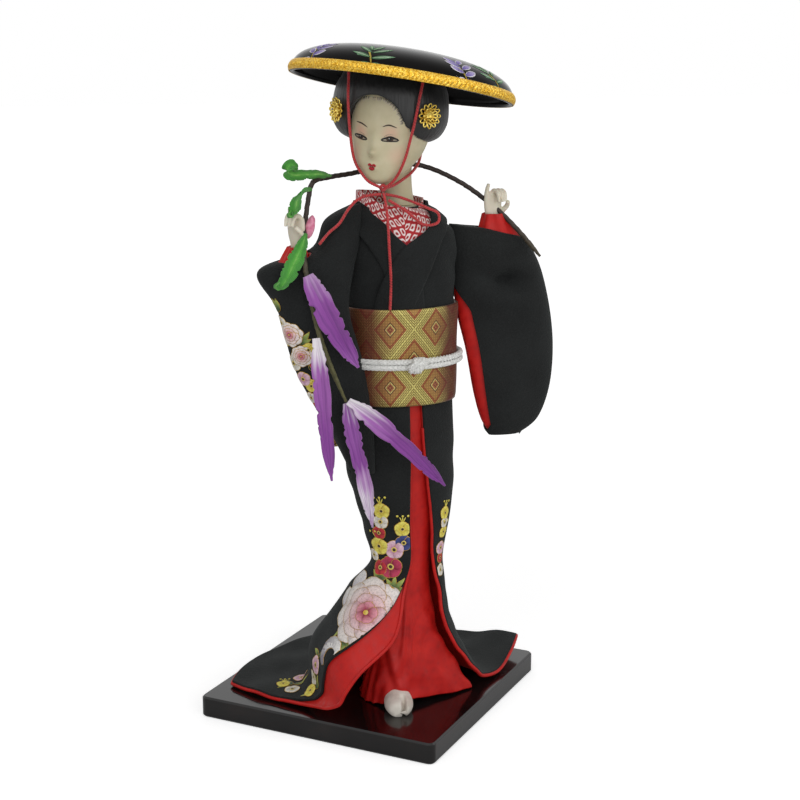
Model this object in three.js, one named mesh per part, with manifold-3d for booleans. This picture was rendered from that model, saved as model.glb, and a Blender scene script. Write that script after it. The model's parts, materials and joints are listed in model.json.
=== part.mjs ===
// A standing geisha doll on a black lacquered board: a wire and dowel armature dressed in a crepe kimono
// with a trailing hem, a brocade sash, a wide lacquered hat tied under the chin, and a wisteria branch
// carried across the shoulders. Millimetres, +Z up; the figure looks towards -Y, over a corner of the board.
import * as THREE from 'three';
import { mergeVertices } from 'three/addons/utils/BufferGeometryUtils.js';
import Module from 'manifold-3d';

const wasm = await Module();
wasm.setup();

// Clearances and cloth thicknesses
const GAP = 0.3;
const CREPE = 1.2;
const LINING = 0.7;
const BROCADE = 1.6;

// Board
const BOARD_SIDE = 120;
const BOARD_THICK = 10;
const BOARD_CORNER = 2.5;
const BOARD_EDGE = 0.8;

// Place of the figure's upright axis on the board
const FIGURE_X = 4;
const FIGURE_Y = -29;

// Armature; heights are above the board
const SCREW_HEAD_R = 3.6;
const SCREW_SHANK_R = 1.2;
const SCREW_HEAD_HIGH = 2.2;
const SCREW_BITE = 14;
const POST_R = 2.5;
const POST_X = 7;
const POST_Y = 5;
const POST_TOP = 190;
const CORE_LOW = 147.5;
const WAIST_A = 22.8;
const WAIST_B = 15.9;
const SHOULDER_HIGH = 218;
const SHOULDER_A = 22.6;
const SHOULDER_B = 15;
const SHOULDER_RISE = 11;
const CORE_TOP = SHOULDER_HIGH + SHOULDER_RISE;
const BUST_DROP = 15;
const BUST_HIGH = SHOULDER_HIGH - BUST_DROP;
const BUST_A = 24.0;
const BUST_B = 17.6;
const NECK_LONG = 11.5;
const CHIN_HIGH = CORE_TOP + NECK_LONG;
const PEG_R = 2.4;
const PEG_IN_BODY = 17;
const PEG_IN_HEAD = 11.5;
const PEG_LOW = CORE_TOP - PEG_IN_BODY;
const PEG_TOP = CHIN_HIGH + PEG_IN_HEAD;
const ARM_R = 2.2;
const LEG_R = 1.5;
const LEG_X = -3;
const LEG_Y = -3.5;
const LEG_LOW = 6.3;

// Foot
const FOOT_LENGTH = 27;
const FOOT_WIDTH = 13;
const FOOT_HEIGHT = 15;
const FOOT_TURN = -14;
const ANKLE_BACK = 0.76;
const TOE_SPLIT = 0.9;
const TOE_SPLIT_LONG = 7;

// Robes
const HIP_HIGH = 115;
const HIP_A = 22.8;
const HIP_B = 16.6;
const KNEE_HIGH = 68;
const KNEE_A = 13.2;
const KNEE_B = 12.4;
const KNEE_SHIFT = 2.3;
const LANDING_R = 46;
const TRAIN_R = 80;
const CORNER_LIFT = 6;
const ROBE_TOP = 147;
const ROBE_WALL = 1;
const ROBE_HEM_A = 27;
const ROBE_HEM_B = 20;

// Sash
const OBI_LOW = 143;
const OBI_HEIGHT = 43;
const OBI_CORD_HIGH = 162;
const OBI_CORD_WIDE = 4.6;
const OBI_CORD_THICK = 2;
const KNOT_ANGLE = 0;
const DRUM_WIDE = 66;
const DRUM_HIGH = 46;
const DRUM_DEEP = 15;
const DRUM_LOW = 141;
const TAIL_LONG = 26;
const TAIL_THICK = 2.4;

// Collars: the neckline drops to a point a little to the left of the middle of the chest
const NECK_POINT_DROP = 4.5;
const NECK_POINT_HIGH = SHOULDER_HIGH - NECK_POINT_DROP;
const NECK_POINT_ANGLE = -8;
const NECKLINE_BACK = CORE_TOP + 0.5;
const NECKLINE_SPREAD = 62;
const COLLAR_STAND_R = 8.6;
const COLLAR_RISE = 5;
const COLLAR_STAND_TOP = CORE_TOP + COLLAR_RISE;
const COLLAR_LOOSE = 9.5;
const COLLAR_WIDE = 6;

// Head, in its own frame: chin at zero, face towards -Y
const HEAD_X = -5.4;
const HEAD_Y = -2.6;
const HEAD_TURN = -40;
const HEAD_ROLL = 3;
const FACE_WIDE = 34;
const FACE_DEEP = 20;
const SKULL_BACK = 16.5;
const HEAD_HIGH = 47;
const NOSE_OUT = 2.2;
const NECK_R = 6;

// Hair
const HAIR_A = 25.5;
const HAIR_FRONT = 17;
const HAIR_BACK = 24;
const HAIR_LOW = 16.5;
const FACE_OPENING = 25.5;
const HAIRLINE = 36.5;
const HAIR_SHIFT = -1.9;
const FLOWER_R = 5.3;
const FLOWER_THICK = 2;
const FLOWER_PETALS = 12;

// Hat: a shallow dome, tipped up towards the doll's right
const HAT_R = 48.2;
const HAT_HIGH = 16.2;
const HAT_WALL = 1.5;
const HAT_X = 0.6;
const HAT_Y = -0.2;
const HAT_OVER_CHIN = 38.2;
const HAT_Z = CHIN_HIGH + HAT_OVER_CHIN;
const HAT_LEAN_X = 10.5;
const HAT_LEAN_Y = -3.6;
const TRIM_WIDE = 4.4;
const TRIM_THICK = 0.6;
const CORD_R = 0.65;

// Branch
const BRANCH_R = 1.1;
const LEAF_THICK = 0.5;
const PETAL_WIDE = 11.5;
const PETAL_THICK = 0.6;

const DEG = Math.PI / 180;
const WAIST = OBI_LOW + OBI_HEIGHT / 2;
const OBI_TOP = OBI_LOW + OBI_HEIGHT;
const RING_STEPS = 24;
const OBI_STEPS = 32;
const HAT_STEPS = 32;
const ROD_STEPS = 16;

const point = (x, y, z) => new THREE.Vector3(x, y, z);

// Points whose heights are counted from the shoulders or from the chin, and so move with them
const carried = (x, y, z) => point(x, y, SHOULDER_HIGH + z);
const tied = (x, y, z) => point(x, y, CHIN_HIGH + z);

// Solids

// A closed geometry from points and faces: doubled points are merged, faces without area dropped, and the
// faces turned so that the volume is positive.
function closed(points, faces) {
  const raw = new THREE.BufferGeometry();
  const flat = points.flatMap((p) => [p.x, p.y, p.z]);
  raw.setAttribute('position', new THREE.Float32BufferAttribute(flat, 3));
  raw.setIndex(faces.flat());
  return tidy(raw);
}

function tidy(geometry) {
  geometry.deleteAttribute('normal');
  geometry.deleteAttribute('uv');
  const merged = mergeVertices(geometry, 1e-4);
  const position = merged.getAttribute('position');
  const index = merged.index.array;
  const corner = [0, 1, 2].map(() => new THREE.Vector3());
  const kept = [];
  let volume = 0;
  for (let i = 0; i < index.length; i += 3) {
    const [a, b, c] = [index[i], index[i + 1], index[i + 2]];
    if (a === b || b === c || a === c) {
      continue;
    }
    corner.forEach((p, k) => p.fromBufferAttribute(position, index[i + k]));
    volume += corner[0].dot(corner[1].clone().cross(corner[2]));
    kept.push(a, b, c);
  }
  if (volume < 0) {
    for (let i = 0; i < kept.length; i += 3) {
      [kept[i], kept[i + 1]] = [kept[i + 1], kept[i]];
    }
  }
  merged.setIndex(kept);
  return merged;
}

// A body through a stack of rings, closed at both ends by a fan round each end ring's middle.
function loft(rings) {
  const n = rings[0].length;
  const points = rings.flat();
  const faces = [];
  for (let j = 0; j + 1 < rings.length; j += 1) {
    for (let i = 0; i < n; i += 1) {
      const k = (i + 1) % n;
      faces.push([j * n + i, j * n + k, (j + 1) * n + i]);
      faces.push([j * n + k, (j + 1) * n + k, (j + 1) * n + i]);
    }
  }
  const fan = (ring, first, flip) => {
    const middle = ring.reduce((sum, p) => sum.add(p), point(0, 0, 0)).divideScalar(n);
    points.push(middle);
    for (let i = 0; i < n; i += 1) {
      const face = [first + i, points.length - 1, first + ((i + 1) % n)];
      faces.push(flip ? face.reverse() : face);
    }
  };
  fan(rings[0], 0, false);
  fan(rings[rings.length - 1], (rings.length - 1) * n, true);
  return closed(points, faces);
}

// A thin wall between two grids of points, closed along its edges; a wrapped wall runs right round.
function wall(outer, inner, wrapped) {
  const rows = outer.length;
  const n = outer[0].length;
  const points = [...outer.flat(), ...inner.flat()];
  const far = rows * n;
  const faces = [];
  const quad = (a, b, c, d) => faces.push([a, b, c], [a, c, d]);
  const last = wrapped ? n : n - 1;
  for (let j = 0; j + 1 < rows; j += 1) {
    for (let i = 0; i < last; i += 1) {
      const k = (i + 1) % n;
      quad(j * n + i, j * n + k, (j + 1) * n + k, (j + 1) * n + i);
      quad(far + j * n + i, far + (j + 1) * n + i, far + (j + 1) * n + k, far + j * n + k);
    }
  }
  for (let i = 0; i < last; i += 1) {
    const k = (i + 1) % n;
    const low = (rows - 1) * n;
    quad(i, far + i, far + k, k);
    quad(low + k, far + low + k, far + low + i, low + i);
  }
  if (!wrapped) {
    for (let j = 0; j + 1 < rows; j += 1) {
      const a = j * n;
      const b = (j + 1) * n;
      quad(a, b, far + b, far + a);
      quad(a + n - 1, far + a + n - 1, far + b + n - 1, b + n - 1);
    }
  }
  return closed(points, faces);
}

// A round bar of even thickness along a smooth curve through the given points.
function tube(route, radius, sides, steps) {
  const section = new THREE.Shape();
  for (let i = 0; i < sides; i += 1) {
    const angle = (i / sides) * 2 * Math.PI;
    section[i ? 'lineTo' : 'moveTo'](radius * Math.cos(angle), radius * Math.sin(angle));
  }
  section.closePath();
  const extrudePath = new THREE.CatmullRomCurve3(route, false, 'centripetal');
  return tidy(new THREE.ExtrudeGeometry(section, { steps, extrudePath, bevelEnabled: false }));
}

function revolve(profile, segments) {
  const outline = profile.map(([r, z]) => new THREE.Vector2(r, z));
  return tidy(new THREE.LatheGeometry(outline, segments).rotateX(Math.PI / 2));
}

function solidOf(geometry) {
  const vertProperties = Float32Array.from(geometry.getAttribute('position').array);
  const triVerts = Uint32Array.from(geometry.index.array);
  return new wasm.Manifold(new wasm.Mesh({ numProp: 3, vertProperties, triVerts }));
}

function geometryOf(solid) {
  const { vertProperties, triVerts } = solid.getMesh();
  const geometry = new THREE.BufferGeometry();
  geometry.setAttribute('position', new THREE.BufferAttribute(Float32Array.from(vertProperties), 3));
  geometry.setIndex(Array.from(triVerts));
  return tidy(geometry);
}

function cut(geometry, ...tools) {
  return geometryOf(tools.reduce((left, tool) => left.subtract(solidOf(tool)), solidOf(geometry)));
}

function join(first, ...others) {
  return geometryOf(others.reduce((whole, other) => whole.add(solidOf(other)), solidOf(first)));
}

// Smooth values between stations, each station a plain object of like-named numbers.
function between(stations, place) {
  const last = stations.length - 1;
  const j = Math.min(Math.floor(place), last - 1);
  const f = place - j;
  const pick = (k) => stations[Math.min(Math.max(k, 0), last)];
  const [p, q, r, s] = [pick(j - 1), pick(j), pick(j + 1), pick(j + 2)];
  const value = (key) => {
    const slopeIn = (r[key] - p[key]) / 2;
    const slopeOut = (s[key] - q[key]) / 2;
    const rise = r[key] - q[key];
    const bend = 3 * rise - 2 * slopeIn - slopeOut;
    const twist = slopeIn + slopeOut - 2 * rise;
    return q[key] + f * (slopeIn + f * (bend + f * twist));
  };
  return Object.fromEntries(Object.keys(q).map((key) => [key, value(key)]));
}

function spread(stations, count) {
  return Array.from({ length: count }, (_, i) => between(stations, (i / (count - 1)) * (stations.length - 1)));
}

// An upright oval ring; angle zero faces -Y and grows towards +X.
function oval({ z, a, b, x = 0, y = 0 }, grow = 0, steps = RING_STEPS) {
  return Array.from({ length: steps }, (_, i) => {
    const angle = (i / steps) * 2 * Math.PI;
    return point(x + (a + grow) * Math.sin(angle), y - (b + grow) * Math.cos(angle), z);
  });
}

const smooth = (from, to, v) => THREE.MathUtils.smoothstep(v, from, to);
const bell = (v, centre, width) => Math.exp(-(((v - centre) / width) ** 2));

// Body sections from the hip block to the neck
const BODY = [
  { z: CORE_LOW, a: WAIST_A, b: WAIST_B },
  { z: WAIST, a: WAIST_A, b: WAIST_B },
  { z: OBI_TOP, a: WAIST_A + 0.3, b: WAIST_B + 0.5 },
  { z: BUST_HIGH, a: BUST_A, b: BUST_B },
  { z: (BUST_HIGH + SHOULDER_HIGH) / 2, a: BUST_A + 0.2, b: BUST_B - 0.8 },
  { z: SHOULDER_HIGH, a: SHOULDER_A, b: SHOULDER_B },
  { z: SHOULDER_HIGH + 5, a: SHOULDER_A - 6.5, b: SHOULDER_B - 2.6 },
  { z: SHOULDER_HIGH + 8.5, a: NECK_R + 5.2, b: NECK_R + 4 },
  { z: CORE_TOP, a: NECK_R + 1, b: NECK_R + 1 },
];

// The body section at a height, and above the shoulders the section of the collar stand.
function bodyAt(z) {
  const above = BODY.findIndex((section) => section.z >= z);
  if (above < 0) {
    return { z, a: COLLAR_STAND_R - CREPE, b: COLLAR_STAND_R - CREPE };
  }
  const upper = BODY[above];
  const lower = BODY[Math.max(above - 1, 0)];
  const share = upper === lower ? 0 : (z - lower.z) / (upper.z - lower.z);
  const a = THREE.MathUtils.lerp(lower.a, upper.a, share);
  const b = THREE.MathUtils.lerp(lower.b, upper.b, share);
  return { z, a, b };
}

const root = new THREE.Group();
const figure = new THREE.Group();
figure.position.set(FIGURE_X, FIGURE_Y, BOARD_THICK);
root.add(figure);
const headGroup = new THREE.Group();
headGroup.position.set(HEAD_X, HEAD_Y, CHIN_HIGH);
headGroup.rotation.set(0, HEAD_ROLL * DEG, HEAD_TURN * DEG, 'ZYX');
figure.add(headGroup);
const hatGroup = new THREE.Group();
hatGroup.position.set(HAT_X, HAT_Y, HAT_Z);
hatGroup.rotation.set(HAT_LEAN_Y * DEG, HAT_LEAN_X * DEG, 0);
figure.add(hatGroup);
[headGroup, hatGroup].forEach((group) => group.updateMatrix());

const finish = (color, roughness, metalness = 0) => ({ color, roughness, metalness });
const LACQUER = finish(0x1a1a1a, 0.2);
const STEEL = finish(0x9a9a98, 0.4, 1);
const DOWEL = finish(0xc9a878, 0.7);
const STUFFING = finish(0xe4dcc8, 0.9);
const WHITE_CLOTH = finish(0xe9e4d8, 0.8);
const RED_SILK = finish(0xc81e1c, 0.6);
const BLACK_CREPE = finish(0x1d1f1f, 0.9);
const DOTTED_RED = finish(0xb5202c, 0.8);
const GOLD_BROCADE = finish(0xb5893f, 0.5, 0.3);
const WHITE_BRAID = finish(0xe8e8e4, 0.8);
const IVORY = finish(0xe3d8bf, 0.6);
const HAIR = finish(0x1b1b1a, 0.6);
const GILT = finish(0xd6b03a, 0.35, 1);
const RED_CORD = finish(0xa41c20, 0.7);
const WIRE_PAPER = finish(0x2a201c, 0.8);
const LEAF_GREEN = finish(0x5fae3e, 0.8);
const BUD_PINK = finish(0xe58aa6, 0.8);
const PETAL_PURPLE = finish(0x8438a6, 0.8);

function add(parent, name, geometry, look) {
  const mesh = new THREE.Mesh(geometry, new THREE.MeshStandardMaterial(look));
  mesh.name = name;
  parent.add(mesh);
  return geometry;
}

// Board, screw and post

const SCREW_SUNK = 0.5;
const SCREW_RIM = 0.4;

function screwProfile(grow, low, top) {
  const head = SCREW_HEAD_R + grow;
  const shank = SCREW_SHANK_R + grow;
  const rim = SCREW_SUNK + SCREW_RIM;
  return [[0, low], [head, low], [head, rim], [shank, SCREW_SUNK + SCREW_HEAD_HIGH], [shank, top], [0, top]];
}

const SCREW_TOP = BOARD_THICK + SCREW_BITE;
const SCREW_X = FIGURE_X + POST_X;
const SCREW_Y = FIGURE_Y + POST_Y;

function boardSolid() {
  const half = BOARD_SIDE / 2 - BOARD_EDGE;
  const r = BOARD_CORNER;
  const outline = new THREE.Shape();
  outline.moveTo(-half + r, -half);
  [[1, -1], [1, 1], [-1, 1], [-1, -1]].forEach(([x, y], i) => {
    const start = (i - 1) * 90 * DEG;
    outline.absarc(x * (half - r), y * (half - r), r, start, start + 90 * DEG, false);
  });
  const bevel = { bevelThickness: BOARD_EDGE, bevelSize: BOARD_EDGE, bevelSegments: 1 };
  const depth = BOARD_THICK - 2 * BOARD_EDGE;
  const slab = new THREE.ExtrudeGeometry(outline, { depth, curveSegments: 3, ...bevel });
  slab.translate(0, 0, BOARD_EDGE).rotateZ(45 * DEG);
  const hole = revolve(screwProfile(GAP, -1, SCREW_TOP), ROD_STEPS).translate(SCREW_X, SCREW_Y, 0);
  return cut(tidy(slab), hole);
}

add(root, 'base_board', boardSolid(), LACQUER);
const screw = revolve(screwProfile(0, SCREW_SUNK, SCREW_TOP), ROD_STEPS);
add(root, 'base_screw', screw.translate(SCREW_X, SCREW_Y, 0), STEEL);

const postBore = SCREW_SHANK_R + GAP;
const post = revolve([
  [postBore, 0],
  [POST_R, 0],
  [POST_R, POST_TOP],
  [0, POST_TOP],
  [0, SCREW_BITE + GAP],
  [postBore, SCREW_BITE + GAP],
  [postBore, 0],
], ROD_STEPS);
add(figure, 'support_post', post.translate(POST_X, POST_Y, 0), DOWEL);

// Arms: padded wires from a socket in the body block to the wrist
const RIGHT_WRIST = carried(-49, -8, -7);
const LEFT_WRIST = carried(42.5, -3, 1);
const RIGHT_ARM = [
  carried(-13, 0, -3),
  carried(-25, -3, -4),
  carried(-38, -6, -14),
  carried(-46, -8, -22),
  carried(-49.5, -8.5, -19),
  RIGHT_WRIST,
];
const LEFT_ARM = [
  carried(13, 0, -6),
  carried(25, -1, -9),
  carried(35, -2, -14),
  carried(41, -3, -13),
  carried(43, -3, -8),
  LEFT_WRIST,
];
const ARM_SIDES = 6;
const ARM_RUNS = 13;
add(figure, 'right_arm_wire', tube(RIGHT_ARM, ARM_R, ARM_SIDES, ARM_RUNS), STUFFING);
add(figure, 'left_arm_wire', tube(LEFT_ARM, ARM_R, ARM_SIDES, ARM_RUNS), STUFFING);
const armRoom = [RIGHT_ARM, LEFT_ARM].map((route) => {
  const back = route[0].clone().multiplyScalar(2).sub(route[1]);
  const start = route[0].clone().lerp(back, GAP / route[0].distanceTo(back));
  return tube([start, ...route], ARM_R + GAP + 0.1, ARM_SIDES, ARM_RUNS);
});

// Body block with sockets for the post, the peg, the arms and the leg wire
const coreRings = BODY.map((section) => oval(section, 0, 16));
const rod = (radius, low, top) => revolve([[0, low], [radius, low], [radius, top], [0, top]], ROD_STEPS);
const postSocket = rod(POST_R + GAP, 0, POST_TOP + GAP).translate(POST_X, POST_Y, 0);
const pegSocket = rod(PEG_R + GAP, PEG_LOW - GAP, CORE_TOP + 1);
add(figure, 'torso_core', cut(loft(coreRings), postSocket, pegSocket, ...armRoom), STUFFING);
add(figure, 'neck_peg', rod(PEG_R, PEG_LOW, PEG_TOP), DOWEL);

// Foot and leg wire

const FOOT = [
  { k: 0, w: 0.24, h: 0.3 },
  { k: 0.05, w: 0.38, h: 0.42 },
  { k: 0.18, w: 0.49, h: 0.5 },
  { k: 0.34, w: 0.5, h: 0.58 },
  { k: 0.55, w: 0.42, h: 0.72 },
  { k: 0.74, w: 0.4, h: 1 },
  { k: 0.92, w: 0.36, h: 0.95 },
  { k: 1, w: 0.2, h: 0.6 },
];

function footSolid() {
  const around = 16;
  const rings = FOOT.map(({ k, w, h }) => Array.from({ length: around }, (_, i) => {
    const angle = (i / around) * 2 * Math.PI;
    const high = FOOT_HEIGHT * h;
    const up = Math.max(0, 0.42 + 0.58 * Math.sin(angle));
    return point(FOOT_WIDTH * w * Math.cos(angle), FOOT_LENGTH * (k - ANKLE_BACK), high * up);
  }));
  const split = new THREE.BoxGeometry(TOE_SPLIT, TOE_SPLIT_LONG, FOOT_HEIGHT).toNonIndexed();
  const toe = -FOOT_LENGTH * ANKLE_BACK;
  split.translate(FOOT_WIDTH * 0.14, toe + TOE_SPLIT_LONG / 2 - 1, FOOT_HEIGHT / 2 + 2.2);
  const socket = rod(LEG_R + GAP, LEG_LOW - GAP, FOOT_HEIGHT + 2);
  const foot = cut(loft(rings), tidy(split), socket);
  return foot.rotateZ(FOOT_TURN * DEG).translate(LEG_X, LEG_Y, 0);
}

add(figure, 'front_foot', footSolid(), WHITE_CLOTH);
const leg = rod(LEG_R, LEG_LOW, CORE_LOW - GAP);
add(figure, 'leg_wire', leg.translate(LEG_X, LEG_Y, 0), STEEL);

const THIGH_HIGH = (HIP_HIGH + KNEE_HIGH) / 2;
const THIGH_A = (HIP_A + KNEE_A) / 2;
const THIGH_B = (HIP_B + KNEE_B) / 2;

// Skirt: stations from the waist to the floor and out along the train; l and r are the front edges' angles.
const SKIRT = [
  { z: WAIST - GAP, a: WAIST_A - LINING, b: WAIST_B - LINING, x: 0, l: -3, r: 12 },
  { z: OBI_LOW, a: WAIST_A - LINING, b: WAIST_B - LINING, x: 0, l: -3, r: 12 },
  { z: HIP_HIGH, a: HIP_A, b: HIP_B, x: 0, l: -3, r: 16 },
  { z: THIGH_HIGH, a: THIGH_A, b: THIGH_B, x: KNEE_SHIFT / 2, l: -5, r: 26 },
  { z: KNEE_HIGH, a: KNEE_A, b: KNEE_B, x: KNEE_SHIFT, l: -8, r: 38 },
  { z: KNEE_HIGH - 16, a: LANDING_R * 0.37, b: LANDING_R * 0.37, x: KNEE_SHIFT * 0.7, l: -31, r: 50 },
  { z: KNEE_HIGH - 29, a: LANDING_R * 0.49, b: LANDING_R * 0.49, x: KNEE_SHIFT * 0.4, l: -51, r: 57 },
  { z: 27, a: LANDING_R * 0.62, b: LANDING_R * 0.62, x: 0, l: -69, r: 65 },
  { z: 16, a: LANDING_R * 0.76, b: LANDING_R * 0.76, x: 0, l: -77, r: 75 },
  { z: 7, a: LANDING_R * 0.89, b: LANDING_R * 0.89, x: 0, l: -82, r: 84 },
  { z: 2, a: LANDING_R, b: LANDING_R, x: 0, l: -91, r: 92 },
  { z: 0.5, a: (LANDING_R + TRAIN_R) / 2, b: (LANDING_R + TRAIN_R) / 2, x: 0, l: -105, r: 104 },
  { z: 0.5, a: TRAIN_R, b: TRAIN_R, x: 0, l: -116, r: 114 },
];
const RIGHT_FLARE = 0.88;
const LEFT_FLARE = 0.38;
const FOLDS = 5;
const FOLD_DEEP = 0.045;

// Underside of the cloth: place runs down the stations, u from the left edge round the back to the right.
function skirtPoint(place, u) {
  const { z, a, b, x, l, r } = between(SKIRT, place);
  const angle = (l + (r - 360 - l) * u) * DEG;
  const flare = smooth(4, 6, place) * (1 - smooth(9, 10.5, place));
  const side = 1 - (1 - RIGHT_FLARE) * flare * smooth(0, 1, Math.sin(angle));
  const early = smooth(4, 5, place) * (1 - smooth(6.6, 9, place));
  const swell = 1 + LEFT_FLARE * early * smooth(0.3, 1, -Math.sin(angle));
  const fold = 1 + FOLD_DEEP * flare * Math.sin(FOLDS * angle);
  const lift = CORNER_LIFT * smooth(10.3, 12, place) * smooth(0.8, 1, u);
  const k = side * swell * fold;
  return point(x + a * k * Math.sin(angle), -b * k * Math.cos(angle), z + lift);
}

const HEM = SKIRT.length - 1;
const SKIRT_PLACES = [0, 1, 2, 3, 4, 4.5, 5, 5.5, 6, 7, 8, 9, 10, 11, HEM];
const SKIRT_COLUMNS = 21;

function skirtGrid(places, out) {
  const step = 0.01;
  return places.map((place) => {
    const above = Math.max(place - step, 0);
    const below = Math.min(place + step, HEM);
    return Array.from({ length: SKIRT_COLUMNS }, (_, i) => {
      const u = i / (SKIRT_COLUMNS - 1);
      const down = skirtPoint(below, u).sub(skirtPoint(above, u));
      const along = skirtPoint(place, Math.min(u + step, 1)).sub(skirtPoint(place, Math.max(u - step, 0)));
      return skirtPoint(place, u).addScaledVector(along.cross(down).normalize(), out);
    });
  });
}

const liningPlaces = SKIRT_PLACES.slice(1);
const liningWall = [LINING, 0].map((out) => skirtGrid(liningPlaces, out));
add(figure, 'skirt_lining', wall(...liningWall, false), RED_SILK);
const skirtIn = LINING + GAP;
const skirtWall = [skirtIn + CREPE, skirtIn].map((out) => skirtGrid(SKIRT_PLACES, out));
add(figure, 'kimono_skirt', wall(...skirtWall, false), BLACK_CREPE);

// Under-robe: a narrow bell inside the lining, lifted at the front over the foot
const UNDER = [
  { z: ROBE_TOP, a: WAIST_A - LINING - GAP - 0.4, b: WAIST_B - LINING - GAP - 0.4, x: 0, y: 0 },
  { z: HIP_HIGH, a: HIP_A - GAP - 0.6, b: HIP_B - GAP - 0.6, x: 0, y: 0 },
  { z: THIGH_HIGH, a: THIGH_A - 1, b: THIGH_B - 1, x: KNEE_SHIFT / 2, y: 0 },
  { z: KNEE_HIGH, a: KNEE_A - 1.2, b: KNEE_B - 1.2, x: KNEE_SHIFT, y: 0 },
  { z: KNEE_HIGH - 24, a: KNEE_A - 0.2, b: KNEE_B + 0.6, x: KNEE_SHIFT / 2, y: 0 },
  { z: 20, a: ROBE_HEM_A - 9, b: ROBE_HEM_B - 3, x: 0, y: 3 },
  { z: GAP, a: ROBE_HEM_A, b: ROBE_HEM_B, x: 0, y: 11 },
];
const HEM_LIFT = 16;
const ROBE_FOLDS = 9;
const ROBE_FOLD_DEEP = 0.5;

function robeRows(grow) {
  return spread(UNDER, 8).map((section) => oval(section, grow).map((p, i) => {
    const angle = (i / RING_STEPS) * 2 * Math.PI;
    const low = 1 - smooth(0, 20, section.z);
    const overFoot = bell(p.x, LEG_X, FOOT_WIDTH * 0.8) * smooth(0, 1, Math.cos(angle));
    const over = HEM_LIFT * low * overFoot;
    const fold = ROBE_FOLD_DEEP * (1 - smooth(20, KNEE_HIGH, section.z)) * Math.sin(ROBE_FOLDS * angle);
    return p.add(point(fold * Math.sin(angle), -fold * Math.cos(angle), over));
  }));
}

add(figure, 'under_robe', wall(robeRows(0), robeRows(-ROBE_WALL), true), RED_SILK);

// Bodice
const bodiceFrom = WAIST + GAP;
const BODICE = [bodyAt(bodiceFrom), ...BODY.filter(({ z }) => z > bodiceFrom)];
const bodiceRows = (grow) => BODICE.map((section) => oval(section, grow));
const bodiceIn = GAP;
const bodiceOut = bodiceIn + CREPE;
const bodiceRoom = loft(bodiceRows(bodiceOut + GAP));
const armholes = [RIGHT_ARM, LEFT_ARM].map((route) => tube(route, ARM_R + 1.2, ARM_SIDES, ARM_RUNS));
const bodiceWall = wall(bodiceRows(bodiceOut), bodiceRows(bodiceIn), true);
add(figure, 'kimono_bodice', cut(bodiceWall, ...armholes), BLACK_CREPE);

// Collars: rings round the neck whose lower edge drops to the neckline's point
function necklineAt(angle) {
  const turned = Math.abs(THREE.MathUtils.euclideanModulo(angle / DEG - NECK_POINT_ANGLE + 180, 360) - 180);
  return NECKLINE_BACK - (NECKLINE_BACK - NECK_POINT_HIGH) * Math.max(0, 1 - turned / NECKLINE_SPREAD);
}

function collarRows(rows, topOf, lowOf, out) {
  return Array.from({ length: rows }, (_, j) => Array.from({ length: RING_STEPS }, (__, i) => {
    const angle = (i / RING_STEPS) * 2 * Math.PI + NECK_POINT_ANGLE * DEG;
    const z = THREE.MathUtils.lerp(topOf(angle), lowOf(angle), j / (rows - 1));
    const { a, b } = bodyAt(z);
    const loose = COLLAR_LOOSE * smooth(SHOULDER_HIGH + 2, CORE_TOP, z) * Math.max(0, -Math.sin(angle));
    return point((a + out) * Math.sin(angle) - loose, -(b + out) * Math.cos(angle), z);
  }));
}

const COLLAR_DIP = 5;
const COLLAR_TILT = 2;
const standTop = (angle) => {
  const dip = COLLAR_DIP * smooth(0.2, 1, Math.cos(angle));
  return COLLAR_STAND_TOP - dip - COLLAR_TILT * Math.sin(angle);
};
const underIn = bodiceOut + 2 * GAP;
const underOut = underIn + LINING;
const tuck = (angle) => necklineAt(angle) - 1.5;
const underWall = [underOut, underIn].map((out) => collarRows(4, standTop, tuck, out));
add(figure, 'under_collar', cut(wall(...underWall, true), bodiceRoom), DOTTED_RED);
const collarIn = underOut + 2 * GAP;
const collarTop = (angle) => necklineAt(angle) + 1;
const collarLow = (angle) => necklineAt(angle) + 1 - COLLAR_WIDE;
const collarWall = [collarIn + CREPE, collarIn].map((out) => collarRows(3, collarTop, collarLow, out));
const underRoom = loft(collarRows(4, standTop, (angle) => tuck(angle) - 3, underOut + GAP));
add(figure, 'kimono_collar', cut(wall(...collarWall, true), underRoom, bodiceRoom), BLACK_CREPE);
const collarRoom = [standTop, collarTop].map((topOf) => {
  return loft(collarRows(3, topOf, (angle) => collarLow(angle) - GAP, collarIn + CREPE + 2 * GAP));
});

// Sash, its cord and knot, and the folded bow behind
const obiIn = bodiceOut + GAP;
const obiOut = obiIn + BROCADE;
const OBI = [OBI_LOW, WAIST, OBI_TOP].map((z) => ({ ...bodyAt(Math.max(z, CORE_LOW)), z }));
const obiWall = [obiOut, obiIn].map((out) => spread(OBI, 3).map((section) => oval(section, out, OBI_STEPS)));
add(figure, 'obi_band', wall(...obiWall, true), GOLD_BROCADE);

function obiCord() {
  const { a, b } = bodyAt(OBI_CORD_HIGH);
  const base = obiOut + GAP;
  const section = [[0, -1], [1, -0.5], [1, 0.5], [0, 1]];
  const rows = (thick) => section.map(([out, up]) => {
    const z = OBI_CORD_HIGH + (up * OBI_CORD_WIDE) / 2;
    return oval({ z, a, b }, base + thick * out * OBI_CORD_THICK, OBI_STEPS);
  });
  return wall(rows(1), rows(0), true);
}

add(figure, 'obi_cord', obiCord(), WHITE_BRAID);

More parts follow.
